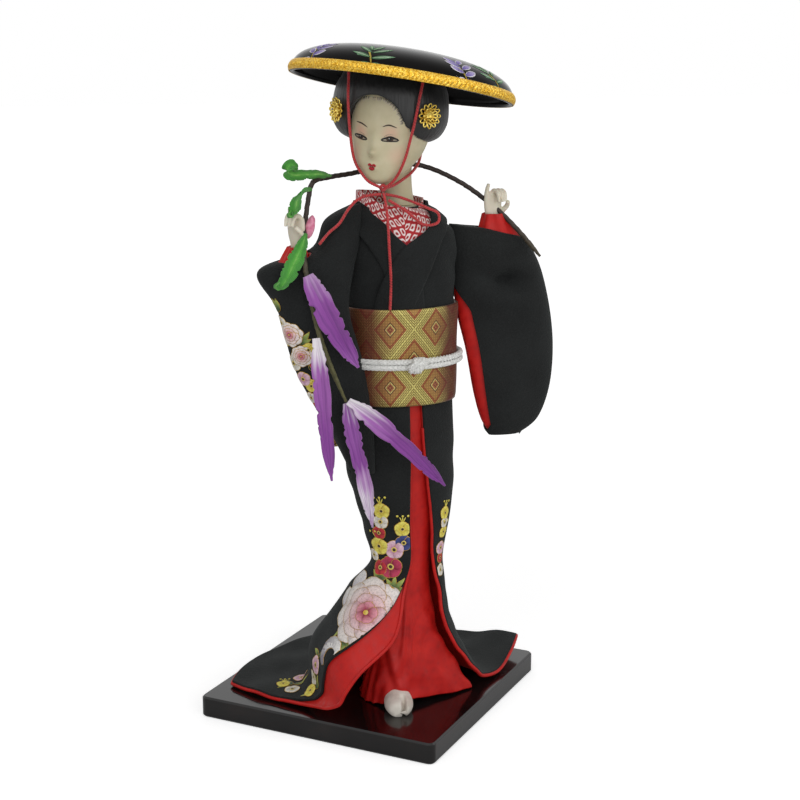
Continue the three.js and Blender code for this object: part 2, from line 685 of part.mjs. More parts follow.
const knotTurn = KNOT_ANGLE * DEG;
const cordSection = bodyAt(OBI_CORD_HIGH);
const cordFace = obiOut + GAP + OBI_CORD_THICK + GAP;
const KNOT_DEEP = 2.2;
const knot = new THREE.SphereGeometry(1, 10, 6).toNonIndexed();
knot.scale(OBI_CORD_WIDE * 0.75, KNOT_DEEP, OBI_CORD_WIDE * 0.62).rotateZ(knotTurn);
knot.translate(
  (cordSection.a + cordFace + KNOT_DEEP) * Math.sin(knotTurn),
  -(cordSection.b + cordFace + KNOT_DEEP) * Math.cos(knotTurn),
  OBI_CORD_HIGH,
);
add(figure, 'obi_cord_knot', tidy(knot), WHITE_BRAID);

// The bow is a flat folded pillow against the back of the sash; its tail hangs from under it.
const cordBack = cordSection.b + obiOut + GAP + OBI_CORD_THICK + GAP;

function pillow(wide, high, deep, crown) {
  const around = 20;
  const rows = [-1, -0.8, 0, 0.8, 1];
  return loft(rows.map((up) => Array.from({ length: around }, (_, i) => {
    const angle = (i / around) * 2 * Math.PI;
    const c = Math.cos(angle);
    const s = Math.sin(angle);
    const x = Math.sign(c) * Math.abs(c) ** 0.35 * (wide / 2);
    const swell = (1 - Math.abs(up) ** 4 * 0.55) * (1 - crown * (c * c) ** 2);
    return point(x, (Math.sign(s) * Math.abs(s) ** 0.6 * swell * deep) / 2, (up * high) / 2);
  })));
}

const drum = pillow(DRUM_WIDE, DRUM_HIGH, DRUM_DEEP, 0.35);
add(figure, 'obi_drum', drum.translate(0, cordBack + DRUM_DEEP / 2, DRUM_LOW + DRUM_HIGH / 2), GOLD_BROCADE);
const tail = pillow(DRUM_WIDE * 0.72, TAIL_LONG, TAIL_THICK, 0.2);
const tailPlace = [0, cordBack + DRUM_DEEP * 0.5, DRUM_LOW - GAP - TAIL_LONG / 2];
add(figure, 'obi_tail', tail.translate(...tailPlace), GOLD_BROCADE);

// Sleeves: bags of oval slices from the shoulder down; i and o are the slice's inner and outer ends, with
// heights counted from the shoulders.
const hung = (stations) => stations.map((station) => {
  return { ...station, zi: SHOULDER_HIGH + station.zi, zo: SHOULDER_HIGH + station.zo };
});
const RIGHT_SLEEVE = hung([
  { xi: -19, zi: 13, xo: -23, zo: 12, y: -3, w: 4 },
  { xi: -19, zi: 8, xo: -35, zo: 6, y: -4, w: 7 },
  { xi: -21, zi: -4, xo: -42, zo: -6, y: -6, w: 9 },
  { xi: -24, zi: -15, xo: -66, zo: -14, y: -8, w: 9.5 },
  { xi: -26.5, zi: -32, xo: -58, zo: -31, y: -9, w: 9 },
  { xi: -21, zi: -53, xo: -51.5, zo: -55, y: -9, w: 8.5 },
  { xi: -17.5, zi: -71, xo: -44, zo: -71, y: -10, w: 8 },
  { xi: -16, zi: -90, xo: -34.5, zo: -88, y: -11, w: 6.5 },
  { xi: -16, zi: -105, xo: -27, zo: -104, y: -12, w: 4.5 },
]);
const LEFT_SLEEVE = hung([
  { xi: 23, zi: 2, xo: 30, zo: 1, y: -1, w: 4 },
  { xi: 22, zi: -2.5, xo: 54, zo: -2.5, y: -2, w: 8 },
  { xi: 24.5, zi: -15, xo: 63.5, zo: -14, y: -3, w: 9.5 },
  { xi: 25.5, zi: -34, xo: 69.5, zo: -32, y: -3, w: 9.5 },
  { xi: 29, zi: -55, xo: 72.6, zo: -53, y: -3, w: 9 },
  { xi: 33, zi: -75, xo: 71.5, zo: -73, y: -3, w: 8.5 },
  { xi: 37, zi: -88, xo: 66, zo: -88, y: -3, w: 7 },
  { xi: 42, zi: -95, xo: 57, zo: -95, y: -3, w: 3.5 },
]);
const SLEEVE_ROWS = 9;
const SLEEVE_STEPS = 10;

function sleeveBag(stations, inset) {
  return loft(spread(stations, SLEEVE_ROWS).map(({ xi, zi, xo, zo, y, w }, j) => {
    const ends = j === 0 ? -inset : j === SLEEVE_ROWS - 1 ? inset : 0;
    const half = Math.abs(xo - xi) / 2 - inset;
    return Array.from({ length: SLEEVE_STEPS }, (_, i) => {
      const angle = (i / SLEEVE_STEPS) * 2 * Math.PI;
      const c = Math.cos(angle);
      const s = Math.sin(angle);
      const x = (xi + xo) / 2 + half * Math.sign(c) * Math.abs(c) ** 0.8;
      const z = (zi + zo) / 2 + ((zo - zi) / 2) * Math.sign(xo - xi) * c + ends;
      return point(x, y - (w - inset) * s, z);
    });
  }));
}

const obiRoom = loft(spread(OBI, 3).map((section) => oval(section, obiOut + GAP, OBI_STEPS)));
const cordRoom = loft([-1, 1].map((end) => {
  const z = OBI_CORD_HIGH + end * (OBI_CORD_WIDE / 2 + GAP);
  return oval({ ...bodyAt(OBI_CORD_HIGH), z }, obiOut + OBI_CORD_THICK + 2.5 * GAP, OBI_STEPS);
}));
const skirtRoom = loft(SKIRT.slice(0, 5).map((section) => oval(section, skirtIn + CREPE + 2 * GAP, OBI_STEPS)));

// An open mouth at the top, through which the lining rises as a cuff to the wrist, and a long slit inside
function sleevePair(name, stations, wrist, cuff) {
  const mouth = (grow) => loft([cuff.z - 9, wrist.z + 30].map((z) => oval({ ...cuff, z }, grow, 16)));
  const cuffRows = (grow) => [
    oval({ ...cuff, z: cuff.z - 7 }, grow, 16),
    oval(cuff, grow, 16),
    oval({ x: wrist.x, y: wrist.y, z: wrist.z + 3, a: ARM_R + 1.6, b: ARM_R + 1.6 }, grow, 16),
  ];
  const low = stations[stations.length - 2];
  const high = stations[3];
  const slitLong = high.zi - low.zi;
  const slit = new THREE.BoxGeometry(14, 5, slitLong).toNonIndexed();
  const lean = Math.atan2(high.xi - low.xi, slitLong);
  slit.rotateY(lean).translate((high.xi + low.xi) / 2, (high.y + low.y) / 2, (high.zi + low.zi) / 2);
  const clear = [tidy(slit), ...armRoom, bodiceRoom, ...collarRoom, obiRoom, cordRoom, skirtRoom];
  const bag = (inset) => sleeveBag(stations, inset);
  add(figure, name, cut(bag(0), bag(CREPE), mouth(GAP), ...clear), BLACK_CREPE);
  const lined = cut(bag(CREPE + GAP), bag(CREPE + GAP + LINING), mouth(-LINING));
  const cuffed = join(lined, wall(cuffRows(0), cuffRows(-LINING), true));
  add(figure, `${name}_lining`, cut(cuffed, ...clear), RED_SILK);
}

sleevePair('right_sleeve', RIGHT_SLEEVE, RIGHT_WRIST, { x: -50, y: -8, z: SHOULDER_HIGH - 12, a: 7, b: 6 });
sleevePair('left_sleeve', LEFT_SLEEVE, LEFT_WRIST, { x: 46, y: -3, z: SHOULDER_HIGH - 4, a: 10.5, b: 5.6 });

// Branch: wrapped wire from the left hand behind the neck to the right hand, then hanging in front
const BRANCH = [
  carried(61, -14, -12.5),
  carried(51.5, -9.5, -0.5),
  carried(43, -3, 9),
  carried(30, 5, 19.5),
  carried(14, 11.5, 26.7),
  carried(-2.5, 12.5, 27),
  carried(-18, 9.5, 24.5),
  carried(-31, 2, 23.8),
  carried(-40.5, -5, 22.5),
  carried(-43.5, -7.5, 15.3),
  carried(-45.7, -10, 5),
  carried(-48, -16, -4.5),
  carried(-48.4, -20, -13.3),
  carried(-47, -22.5, -25),
  carried(-44.6, -24, -37.5),
  carried(-39.8, -25, -52.6),
  carried(-33, -25.5, -69),
];
add(figure, 'branch_stem', tube(BRANCH, BRANCH_R, 8, 36), WIRE_PAPER);
const branchRoom = tube(BRANCH, BRANCH_R + GAP, 8, 36);

// Leaves, bud and blossoms: cupped blades along a curve, seated on the stem
function blade(route, wide, thick, cup, sideways) {
  const curve = new THREE.CatmullRomCurve3(route, false, 'centripetal');
  const rows = 8;
  const across = [-1, 0, 1];
  const grid = (out) => Array.from({ length: rows }, (_, j) => {
    const t = j / (rows - 1);
    const along = curve.getTangentAt(t);
    const side = sideways.clone().addScaledVector(along, -sideways.dot(along)).normalize();
    const face = along.clone().cross(side);
    const half = (wide / 2) * (0.18 + 0.82 * Math.sin(Math.PI * Math.min(1, 0.12 + 0.83 * t)) ** 0.8);
    return across.map((c) => curve.getPointAt(t)
      .addScaledVector(side, half * c)
      .addScaledVector(face, out + cup * half * c * c));
  });
  return wall(grid(thick / 2), grid(-thick / 2), false);
}

const VIEW_SIDE = point(0.95, -0.3, 0);
const LEAVES = [
  { wide: 6, side: point(0, 0.2, 1), route: [carried(-33, -1.5, 24), carried(-41, -6, 25), carried(-50, -9, 25)] },
  { wide: 6, side: point(0.6, -0.5, 0.6), route: [carried(-44, -11, 18.5), carried(-49, -14, 17), carried(-51, -15.5, 11)] },
  { wide: 7.5, side: VIEW_SIDE, route: [carried(-48, -15, -1), carried(-52, -18, -8), carried(-58.5, -20, -18.5)] },
];
LEAVES.forEach(({ route, wide, side }, i) => {
  add(figure, `leaf_${i + 1}`, cut(blade(route, wide, LEAF_THICK, 0.35, side), branchRoom), LEAF_GREEN);
});

const BUD = [[-5, 0.3], [-3.4, 1.4], [0, 2.1], [3.4, 1.5], [5, 0.3]];
const bud = loft(BUD.map(([z, r]) => oval({ z, a: r, b: r }, 0, 10)));
bud.rotateY(12 * DEG).translate(...carried(-42.5, -11.2, 5));
add(figure, 'branch_bud', cut(bud, branchRoom), BUD_PINK);

const PETALS = [
  [carried(-48, -21.6, -14.5), carried(-43, -25.6, -27), carried(-35.5, -27, -41), carried(-28, -27.5, -54)],
  [carried(-46, -26, -40.5), carried(-45, -29, -58), carried(-43.5, -30, -78), carried(-41, -30, -102)],
  [carried(-32.5, -27, -68.4), carried(-18, -32.5, -80), carried(-3, -33, -94.5), carried(9.5, -33, -108)],
  [carried(-32.8, -25.5, -69.5), carried(-29.5, -25.5, -86), carried(-25, -26, -106), carried(-21.5, -26, -126)],
];
PETALS.forEach((route, i) => {
  const petal = blade(route, PETAL_WIDE, PETAL_THICK, 0.3, VIEW_SIDE);
  add(figure, `petal_${i + 1}`, cut(petal, branchRoom), PETAL_PURPLE);
});

// Hands: a slim palm with four fingers and a thumb closed round the branch

function taperedBar(route, from, to) {
  const curve = new THREE.CatmullRomCurve3(route, false, 'centripetal');
  const runs = 4;
  const sides = 5;
  const { normals, binormals } = curve.computeFrenetFrames(runs, false);
  return loft(Array.from({ length: runs + 1 }, (_, j) => {
    const centre = curve.getPointAt(j / runs);
    const radius = THREE.MathUtils.lerp(from, to, j / runs);
    return Array.from({ length: sides }, (__, i) => {
      const angle = (i / sides) * 2 * Math.PI;
      return centre.clone()
        .addScaledVector(normals[j], radius * Math.cos(angle))
        .addScaledVector(binormals[j], radius * Math.sin(angle));
    });
  }));
}

const PALM = [
  { z: 0, a: 2.2, b: 2.0 },
  { z: 4, a: 2.1, b: 1.7 },
  { z: 8, a: 3.2, b: 1.6 },
  { z: 12, a: 3.5, b: 1.5 },
  { z: 15, a: 3.2, b: 1.3 },
];

function handSolid(wrist, turn, size) {
  const palm = loft(spread(PALM, 6).map((section) => oval(section, 0, 10)));
  const fingers = [-2.5, -0.9, 0.7, 2.2].map((x, i) => {
    const long = [5.2, 6.4, 6.8, 6][i];
    return taperedBar([
      point(x, 0.2, 13.5),
      point(x, -1.2, 13.5 + long * 0.45),
      point(x * 0.9, -3.4, 13.5 + long * 0.7),
      point(x * 0.85, -4.6, 13.5 + long * 0.35),
    ], 0.85, 0.55);
  });
  const thumb = taperedBar([point(2.4, 0, 8), point(4.2, -1.6, 11), point(3.6, -3.6, 14)], 0.95, 0.6);
  const hand = join(palm, ...fingers, thumb);
  hand.scale(size, size, size).rotateZ(turn * DEG).translate(wrist.x, wrist.y, wrist.z + GAP);
  return cut(hand, branchRoom);
}

add(figure, 'right_hand', handSolid(RIGHT_WRIST, -60, 1.2), IVORY);
add(figure, 'left_hand', handSolid(LEFT_WRIST, 20, 1), IVORY);

// Head and neck, made in the head's own frame
const SKULL = [
  { z: -0.6, w: 0.17, f: 0.8, k: -0.62 },
  { z: 1.5, w: 0.36, f: 0.93, k: -0.36 },
  { z: 4.5, w: 0.56, f: 0.975, k: 0 },
  { z: 8, w: 0.74, f: 1, k: 0.42 },
  { z: 12.5, w: 0.88, f: 1, k: 0.72 },
  { z: 19, w: 0.98, f: 0.98, k: 0.94 },
  { z: 26, w: 1, f: 0.99, k: 1.03 },
  { z: 34, w: 0.95, f: 0.92, k: 1.02 },
  { z: 41, w: 0.75, f: 0.7, k: 0.82 },
  { z: HEAD_HIGH - 1, w: 0.36, f: 0.34, k: 0.42 },
];

function skullRows(grow) {
  return spread(SKULL, 13).map(({ z, w, f, k }) => {
    const front = FACE_DEEP * f + grow;
    const back = SKULL_BACK * k + grow;
    const half = (FACE_WIDE / 2) * w + grow;
    return Array.from({ length: RING_STEPS }, (_, i) => {
      const angle = (i / RING_STEPS) * 2 * Math.PI;
      const degrees = Math.abs(THREE.MathUtils.euclideanModulo(angle / DEG + 180, 360) - 180);
      const nose = NOSE_OUT * bell(degrees, 0, 9) * (0.45 * bell(z, 17, 4) + bell(z, 13, 2));
      const eyes = -0.5 * bell(degrees, 24, 12) * bell(z, 19, 2.6);
      const lips = 0.5 * bell(degrees, 0, 14) * bell(z, 7.6, 1.6);
      const out = nose + eyes + lips;
      const y = (back - front) / 2 - ((back + front) / 2) * Math.cos(angle);
      return point(half * Math.sin(angle) + out * Math.sin(angle), y - out * Math.cos(angle), z);
    });
  });
}

const intoHead = headGroup.matrix.clone().invert();
const neckFoot = CORE_TOP + GAP;
const neckRings = [
  oval({ z: neckFoot, a: NECK_R + 0.4, b: NECK_R + 0.4 }, 0, 24),
  oval({ z: neckFoot + 6, a: NECK_R, b: NECK_R, x: HEAD_X * 0.12, y: HEAD_Y * 0.1 }, 0, 24),
  oval({ z: CHIN_HIGH + 2, a: NECK_R + 0.6, b: NECK_R + 0.8, x: HEAD_X * 0.35, y: HEAD_Y * 0.3 }, 0, 24),
  oval({ z: CHIN_HIGH + 11, a: NECK_R + 2.6, b: NECK_R + 2.4, x: HEAD_X * 0.7, y: HEAD_Y * 0.6 }, 0, 24),
  oval({ z: CHIN_HIGH + 16, a: NECK_R + 2.6, b: NECK_R + 2.4, x: HEAD_X, y: HEAD_Y * 0.8 }, 0, 24),
];
const neck = loft(neckRings).applyMatrix4(intoHead);
const pegRoom = rod(PEG_R + GAP, neckFoot - 1, PEG_TOP + GAP).applyMatrix4(intoHead);
add(headGroup, 'head', cut(join(loft(skullRows(0)), neck), pegRoom), IVORY);

// Hair: a rounded mass with two side lobes, hollowed for the head and open in front for the face
const hatIntoHead = intoHead.clone().multiply(hatGroup.matrix);
const HAIR_ROWS = [
  { z: HAIR_LOW, w: 0.68, f: 0.75, k: 0.7 },
  { z: HAIR_LOW + 2.5, w: 0.86, f: 1, k: 0.9 },
  { z: HAIR_LOW + 8, w: 0.98, f: 1.12, k: 1 },
  { z: HAIR_LOW + 15, w: 1, f: 1.16, k: 1 },
  { z: HAIR_LOW + 22, w: 0.96, f: 1.14, k: 0.97 },
  { z: HAIR_LOW + 28, w: 0.84, f: 1, k: 0.84 },
  { z: HAIR_LOW + 42, w: 0.6, f: 0.62, k: 0.6 },
];

function hairSolid() {
  const mass = loft(spread(HAIR_ROWS, 10).map(({ z, w, f, k }) => {
    const front = HAIR_FRONT * f;
    const back = HAIR_BACK * k;
    return oval({ z, a: HAIR_A * w, b: (front + back) / 2, x: HAIR_SHIFT, y: (back - front) / 2 });
  }));
  const arch = new THREE.Shape();
  const half = FACE_OPENING / 2;
  arch.moveTo(-half, -5);
  arch.lineTo(half, -5);
  arch.lineTo(half, HAIRLINE - half);
  arch.absarc(0, HAIRLINE - half, half, 0, Math.PI, false);
  const reach = HAIR_FRONT * 3;
  const opening = new THREE.ExtrudeGeometry(arch, { depth: reach, bevelEnabled: false, curveSegments: 10 });
  opening.rotateX(Math.PI / 2).translate(HAIR_SHIFT, -4, 0);
  return cut(mass, loft(skullRows(GAP)), tidy(opening), hatRoom().applyMatrix4(hatIntoHead));
}

// Dome of the hat from its crown to its rim, set in or out from the outer face
function hatProfile(out) {
  const steps = 7;
  return Array.from({ length: steps + 1 }, (_, i) => {
    const angle = (i / steps) * 90 * DEG;
    const r = (HAT_R + out) * Math.sin(angle) ** 0.92;
    return [i === 0 ? 0 : r, (HAT_HIGH + out) * Math.cos(angle) ** 0.72];
  });
}

// Everything from the inside of the dome outwards
function hatRoom() {
  const far = 2 * HAT_R;
  return revolve([...hatProfile(-HAT_WALL - GAP), [far, 0], [far, far], [0, far]], HAT_STEPS);
}

const hair = add(headGroup, 'wig', hairSolid(), HAIR);

// Hair flowers: scalloped discs with a raised middle, flat behind
function flowerSolid() {
  const around = FLOWER_PETALS * 2;
  const ring = (r, y, scallop) => Array.from({ length: around }, (_, i) => {
    const angle = (i / around) * 2 * Math.PI;
    const reach = r * (1 + scallop * Math.cos(FLOWER_PETALS * angle));
    return point(reach * Math.cos(angle), y, reach * Math.sin(angle));
  });
  const t = FLOWER_THICK;
  return loft([
    ring(FLOWER_R * 0.9, 0, 0.06),
    ring(FLOWER_R, -t * 0.35, 0.07),
    ring(FLOWER_R * 0.75, -t * 0.75, 0.05),
    ring(FLOWER_R * 0.42, -t * 0.5, 0),
    ring(FLOWER_R * 0.3, -t, 0),
  ]);
}

const FLOWER_UP = 29;
const flowerRow = between(HAIR_ROWS, 2.8);
const flowerA = HAIR_A * flowerRow.w;
const flowerB = (HAIR_FRONT * flowerRow.f + HAIR_BACK * flowerRow.k) / 2;
[['right_hair_flower', -41], ['left_hair_flower', 56]].forEach(([name, degrees]) => {
  const place = degrees * DEG;
  const normal = point(Math.sin(place) / flowerA, -Math.cos(place) / flowerB, 0).normalize();
  const flower = flowerSolid().rotateZ(Math.atan2(normal.x, -normal.y));
  const x = HAIR_SHIFT + flowerA * Math.sin(place);
  const y = HAIR_BACK - flowerB * (1 + Math.cos(place));
  const seat = point(x, y, FLOWER_UP).addScaledVector(normal, 2 * GAP);
  add(headGroup, name, flower.translate(...seat), GILT);
});

// Hat and its rim braid
const hatShell = [...hatProfile(0), ...hatProfile(-HAT_WALL).reverse()];
add(hatGroup, 'hat_shell', revolve([...hatShell, hatShell[0]], HAT_STEPS), LACQUER);
const trimRows = [0, TRIM_WIDE];

function rimRadius(z) {
  const angle = Math.acos(Math.min(1, (z / HAT_HIGH) ** (1 / 0.72)));
  return HAT_R * Math.sin(angle) ** 0.92;
}

const trimOut = trimRows.map((z) => [rimRadius(z) + GAP + TRIM_THICK, z]);
const trimIn = trimRows.map((z) => [rimRadius(z) + GAP, z]).reverse();
add(hatGroup, 'hat_trim', revolve([...trimOut, ...trimIn, trimOut[0]], HAT_STEPS), GILT);

// Hat cord: red strands down both cheeks and along the jaw, knotted under the chin, with loose ends below
const CORD_SIDES = 8;
const KNOT = tied(-13.4, -17.2, -2.1);
const KNOT_R = 1.7;
const RIGHT_CHEEK = [
  tied(-25, -7, 59.5),
  tied(-25.6, -8.6, 43.5),
  tied(-26.3, -10, 36.1),
  tied(-26.2, -10.2, 28.9),
  tied(-25.6, -10, 21.5),
  tied(-24.6, -9.8, 13.5),
  tied(-23.4, -10, 8.5),
  tied(-22.2, -13, 4.9),
  tied(-19.4, -15.8, 0.7),
  tied(-15.4, -17, -1.7),
];
const LEFT_CHEEK = [
  tied(2.5, -23, 59.5),
  tied(1.6, -25.4, 43.5),
  tied(-0.6, -26.4, 34.5),
  tied(-2, -25, 25.5),
  tied(-3.8, -24, 17.5),
  tied(-5.4, -23.2, 11),
  tied(-7.4, -21.6, 5.1),
  tied(-9.6, -19, 0.5),
  tied(-12.2, -17.6, -1.8),
];
const UNDER_JAW = [
  tied(-12, -16.4, -2.3),
  tied(-7.5, -13.2, -1.7),
  tied(-2.6, -10.6, 0.3),
  tied(2.8, -7.6, 3.1),
  tied(7.6, -3.2, 7.1),
  tied(10.6, 1.8, 12.5),
  tied(11.6, 4, 19.5),
];
const hairRoom = hair.clone().applyMatrix4(headGroup.matrix);
const domeRoom = hatRoom().applyMatrix4(hatGroup.matrix);
const strand = (route, steps) => tube(route, CORD_R, CORD_SIDES, steps);
const ball = (radius) => tidy(new THREE.SphereGeometry(radius, 10, 6).toNonIndexed()).translate(...KNOT);
const knotRoom = ball(KNOT_R + GAP);
add(figure, 'hat_cord_right', cut(strand(RIGHT_CHEEK, 12), domeRoom, knotRoom), RED_CORD);
add(figure, 'hat_cord_left', cut(strand(LEFT_CHEEK, 12), domeRoom, knotRoom), RED_CORD);
add(figure, 'hat_cord_back', cut(strand(UNDER_JAW, 8), hairRoom, knotRoom), RED_CORD);
add(figure, 'hat_cord_bow', ball(KNOT_R), RED_CORD);

const FRONT_TAIL = [
  tied(-13.4, -17.6, -4.2),
  tied(-12.7, -19.2, -9.5),
  tied(-12.2, -20.4, -18.5),
  tied(-11.9, -20.9, -27.5),
  tied(-11.1, -19.9, -35.5),
  tied(-10.6, -19.2, -43.5),
  point(-11, -19.1, OBI_TOP + GAP),
];
const SHOULDER_TAIL = [
  tied(-14.4, -17.6, -4.7),
  tied(-19.9, -16.2, -5.3),
  tied(-24, -14.5, -7.1),
  tied(-27.6, -13.5, -11),
  tied(-31.5, -13, -16.9),
  tied(-36, -12.6, -20.7),
  tied(-40.5, -13, -25.5),
];
const LEFT_LOOP = [
  tied(-12.4, -17.7, -4.8),
  tied(-6, -17.6, -6.3),
  tied(1, -17, -9.1),
  tied(7, -17, -12.5),
  tied(10.6, -17.2, -14.5),
  tied(9.4, -18, -16.9),
  tied(3, -18.6, -15.1),
  tied(-4, -19, -10.3),
  tied(-11.8, -19.5, -7.1),
];
add(figure, 'cord_tail_front', strand(FRONT_TAIL, 9), RED_CORD);
add(figure, 'cord_tail_shoulder', strand(SHOULDER_TAIL, 9), RED_CORD);
add(figure, 'cord_loop_left', strand(LEFT_LOOP, 13), RED_CORD);

root.updateMatrixWorld(true);

export default root;
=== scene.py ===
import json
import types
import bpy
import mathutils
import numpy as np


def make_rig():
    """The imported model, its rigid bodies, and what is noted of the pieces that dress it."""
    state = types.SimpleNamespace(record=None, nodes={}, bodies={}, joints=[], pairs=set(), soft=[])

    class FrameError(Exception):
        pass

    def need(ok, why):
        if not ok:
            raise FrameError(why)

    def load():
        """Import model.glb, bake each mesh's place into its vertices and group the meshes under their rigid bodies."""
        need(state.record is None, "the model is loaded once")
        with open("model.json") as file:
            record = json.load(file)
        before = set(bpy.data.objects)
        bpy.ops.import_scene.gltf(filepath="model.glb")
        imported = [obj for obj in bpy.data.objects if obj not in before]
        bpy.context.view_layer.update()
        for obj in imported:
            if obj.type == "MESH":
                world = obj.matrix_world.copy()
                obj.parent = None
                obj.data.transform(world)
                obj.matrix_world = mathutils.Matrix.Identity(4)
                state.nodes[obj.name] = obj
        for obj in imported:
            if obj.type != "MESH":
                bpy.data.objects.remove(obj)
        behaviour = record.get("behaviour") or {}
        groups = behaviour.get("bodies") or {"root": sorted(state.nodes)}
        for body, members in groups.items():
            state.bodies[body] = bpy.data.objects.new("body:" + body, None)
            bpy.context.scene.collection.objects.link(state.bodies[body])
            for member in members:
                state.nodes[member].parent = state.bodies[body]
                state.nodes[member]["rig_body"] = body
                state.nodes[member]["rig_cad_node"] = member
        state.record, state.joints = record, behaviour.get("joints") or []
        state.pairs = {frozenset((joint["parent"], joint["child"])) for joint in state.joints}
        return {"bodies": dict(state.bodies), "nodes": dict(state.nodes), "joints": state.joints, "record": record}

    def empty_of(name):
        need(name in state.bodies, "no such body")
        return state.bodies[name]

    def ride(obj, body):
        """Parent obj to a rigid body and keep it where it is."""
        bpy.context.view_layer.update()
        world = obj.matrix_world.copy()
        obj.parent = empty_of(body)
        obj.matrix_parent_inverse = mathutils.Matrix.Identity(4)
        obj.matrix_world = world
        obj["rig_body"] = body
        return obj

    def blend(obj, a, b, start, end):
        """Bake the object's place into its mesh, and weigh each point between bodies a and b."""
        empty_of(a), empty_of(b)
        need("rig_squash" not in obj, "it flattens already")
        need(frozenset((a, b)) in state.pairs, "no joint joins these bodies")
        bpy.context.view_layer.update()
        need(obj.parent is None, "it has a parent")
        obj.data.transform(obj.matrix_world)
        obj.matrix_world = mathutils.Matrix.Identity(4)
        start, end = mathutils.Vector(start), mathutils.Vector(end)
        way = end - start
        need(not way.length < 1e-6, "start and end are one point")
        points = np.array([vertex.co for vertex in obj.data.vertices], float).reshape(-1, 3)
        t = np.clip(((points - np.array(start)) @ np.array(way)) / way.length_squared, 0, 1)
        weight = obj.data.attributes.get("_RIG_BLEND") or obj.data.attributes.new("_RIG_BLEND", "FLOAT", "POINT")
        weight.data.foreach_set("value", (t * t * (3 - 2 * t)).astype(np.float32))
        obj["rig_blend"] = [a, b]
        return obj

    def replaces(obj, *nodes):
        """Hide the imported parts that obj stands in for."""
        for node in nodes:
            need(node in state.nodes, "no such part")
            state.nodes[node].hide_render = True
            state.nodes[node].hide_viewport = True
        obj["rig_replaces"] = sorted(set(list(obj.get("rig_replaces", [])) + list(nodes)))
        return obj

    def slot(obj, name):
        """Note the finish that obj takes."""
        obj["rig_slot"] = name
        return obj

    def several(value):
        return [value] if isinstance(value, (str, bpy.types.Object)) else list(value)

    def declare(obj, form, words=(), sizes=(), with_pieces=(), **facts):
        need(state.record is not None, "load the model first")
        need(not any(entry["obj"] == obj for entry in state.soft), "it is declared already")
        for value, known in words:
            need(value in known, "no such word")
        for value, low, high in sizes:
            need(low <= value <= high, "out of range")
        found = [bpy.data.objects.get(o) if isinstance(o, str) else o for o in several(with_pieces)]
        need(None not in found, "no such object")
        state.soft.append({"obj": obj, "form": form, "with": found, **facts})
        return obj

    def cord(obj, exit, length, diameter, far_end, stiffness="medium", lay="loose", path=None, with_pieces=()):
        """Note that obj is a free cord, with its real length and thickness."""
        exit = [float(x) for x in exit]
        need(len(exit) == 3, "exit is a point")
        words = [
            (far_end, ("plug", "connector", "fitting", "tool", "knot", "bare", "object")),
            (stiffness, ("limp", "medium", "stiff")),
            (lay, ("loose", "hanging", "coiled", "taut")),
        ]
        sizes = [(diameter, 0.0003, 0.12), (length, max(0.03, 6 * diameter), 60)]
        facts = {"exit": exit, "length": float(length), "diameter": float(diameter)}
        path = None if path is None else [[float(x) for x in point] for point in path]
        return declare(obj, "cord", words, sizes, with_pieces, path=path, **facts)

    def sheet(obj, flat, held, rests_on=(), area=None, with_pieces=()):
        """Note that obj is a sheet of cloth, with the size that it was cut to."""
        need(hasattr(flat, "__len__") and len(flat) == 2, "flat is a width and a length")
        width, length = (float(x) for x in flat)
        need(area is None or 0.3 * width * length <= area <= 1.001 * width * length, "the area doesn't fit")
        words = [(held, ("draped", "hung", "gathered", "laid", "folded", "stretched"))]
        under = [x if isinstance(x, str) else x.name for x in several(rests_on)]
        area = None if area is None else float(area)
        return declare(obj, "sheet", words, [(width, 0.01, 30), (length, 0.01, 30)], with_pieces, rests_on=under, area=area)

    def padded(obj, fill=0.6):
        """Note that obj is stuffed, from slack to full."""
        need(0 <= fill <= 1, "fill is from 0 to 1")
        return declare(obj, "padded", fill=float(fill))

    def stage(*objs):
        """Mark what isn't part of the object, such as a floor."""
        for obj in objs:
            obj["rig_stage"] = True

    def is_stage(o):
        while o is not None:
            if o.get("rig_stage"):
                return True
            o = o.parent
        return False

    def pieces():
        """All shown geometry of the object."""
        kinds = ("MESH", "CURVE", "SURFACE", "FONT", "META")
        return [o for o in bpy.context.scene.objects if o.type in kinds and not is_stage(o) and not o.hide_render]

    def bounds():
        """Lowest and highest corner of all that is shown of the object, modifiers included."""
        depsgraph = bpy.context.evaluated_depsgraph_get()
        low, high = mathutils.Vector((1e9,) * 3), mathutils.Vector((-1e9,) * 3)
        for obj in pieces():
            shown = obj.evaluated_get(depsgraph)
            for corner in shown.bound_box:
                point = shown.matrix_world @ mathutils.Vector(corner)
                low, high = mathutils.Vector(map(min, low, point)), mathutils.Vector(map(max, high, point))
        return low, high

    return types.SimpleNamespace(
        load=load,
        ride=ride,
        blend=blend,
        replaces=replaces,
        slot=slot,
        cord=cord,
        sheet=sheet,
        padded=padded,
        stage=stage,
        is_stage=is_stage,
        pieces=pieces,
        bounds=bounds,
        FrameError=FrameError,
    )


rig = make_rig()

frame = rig.load()

import json
import math

import bmesh
import bpy
import numpy as np
from mathutils import Matrix, Vector

cad_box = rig.bounds()
nodes = frame["nodes"]


# Base board: a square wooden plate with a corner to the front, held to the post by one screw from below.
# It has many rubbed coats of black lacquer, so it mirrors the robe, and it is a little bare along its edges.
def linear(code):
    """A colour written as sRGB hex, in linear light."""
    shares = [int(code[i:i + 2], 16) / 255 for i in (0, 2, 4)]
    return tuple(c / 12.92 if c <= 0.04045 else ((c + 0.055) / 1.055) ** 2.4 for c in shares) + (1.0,)


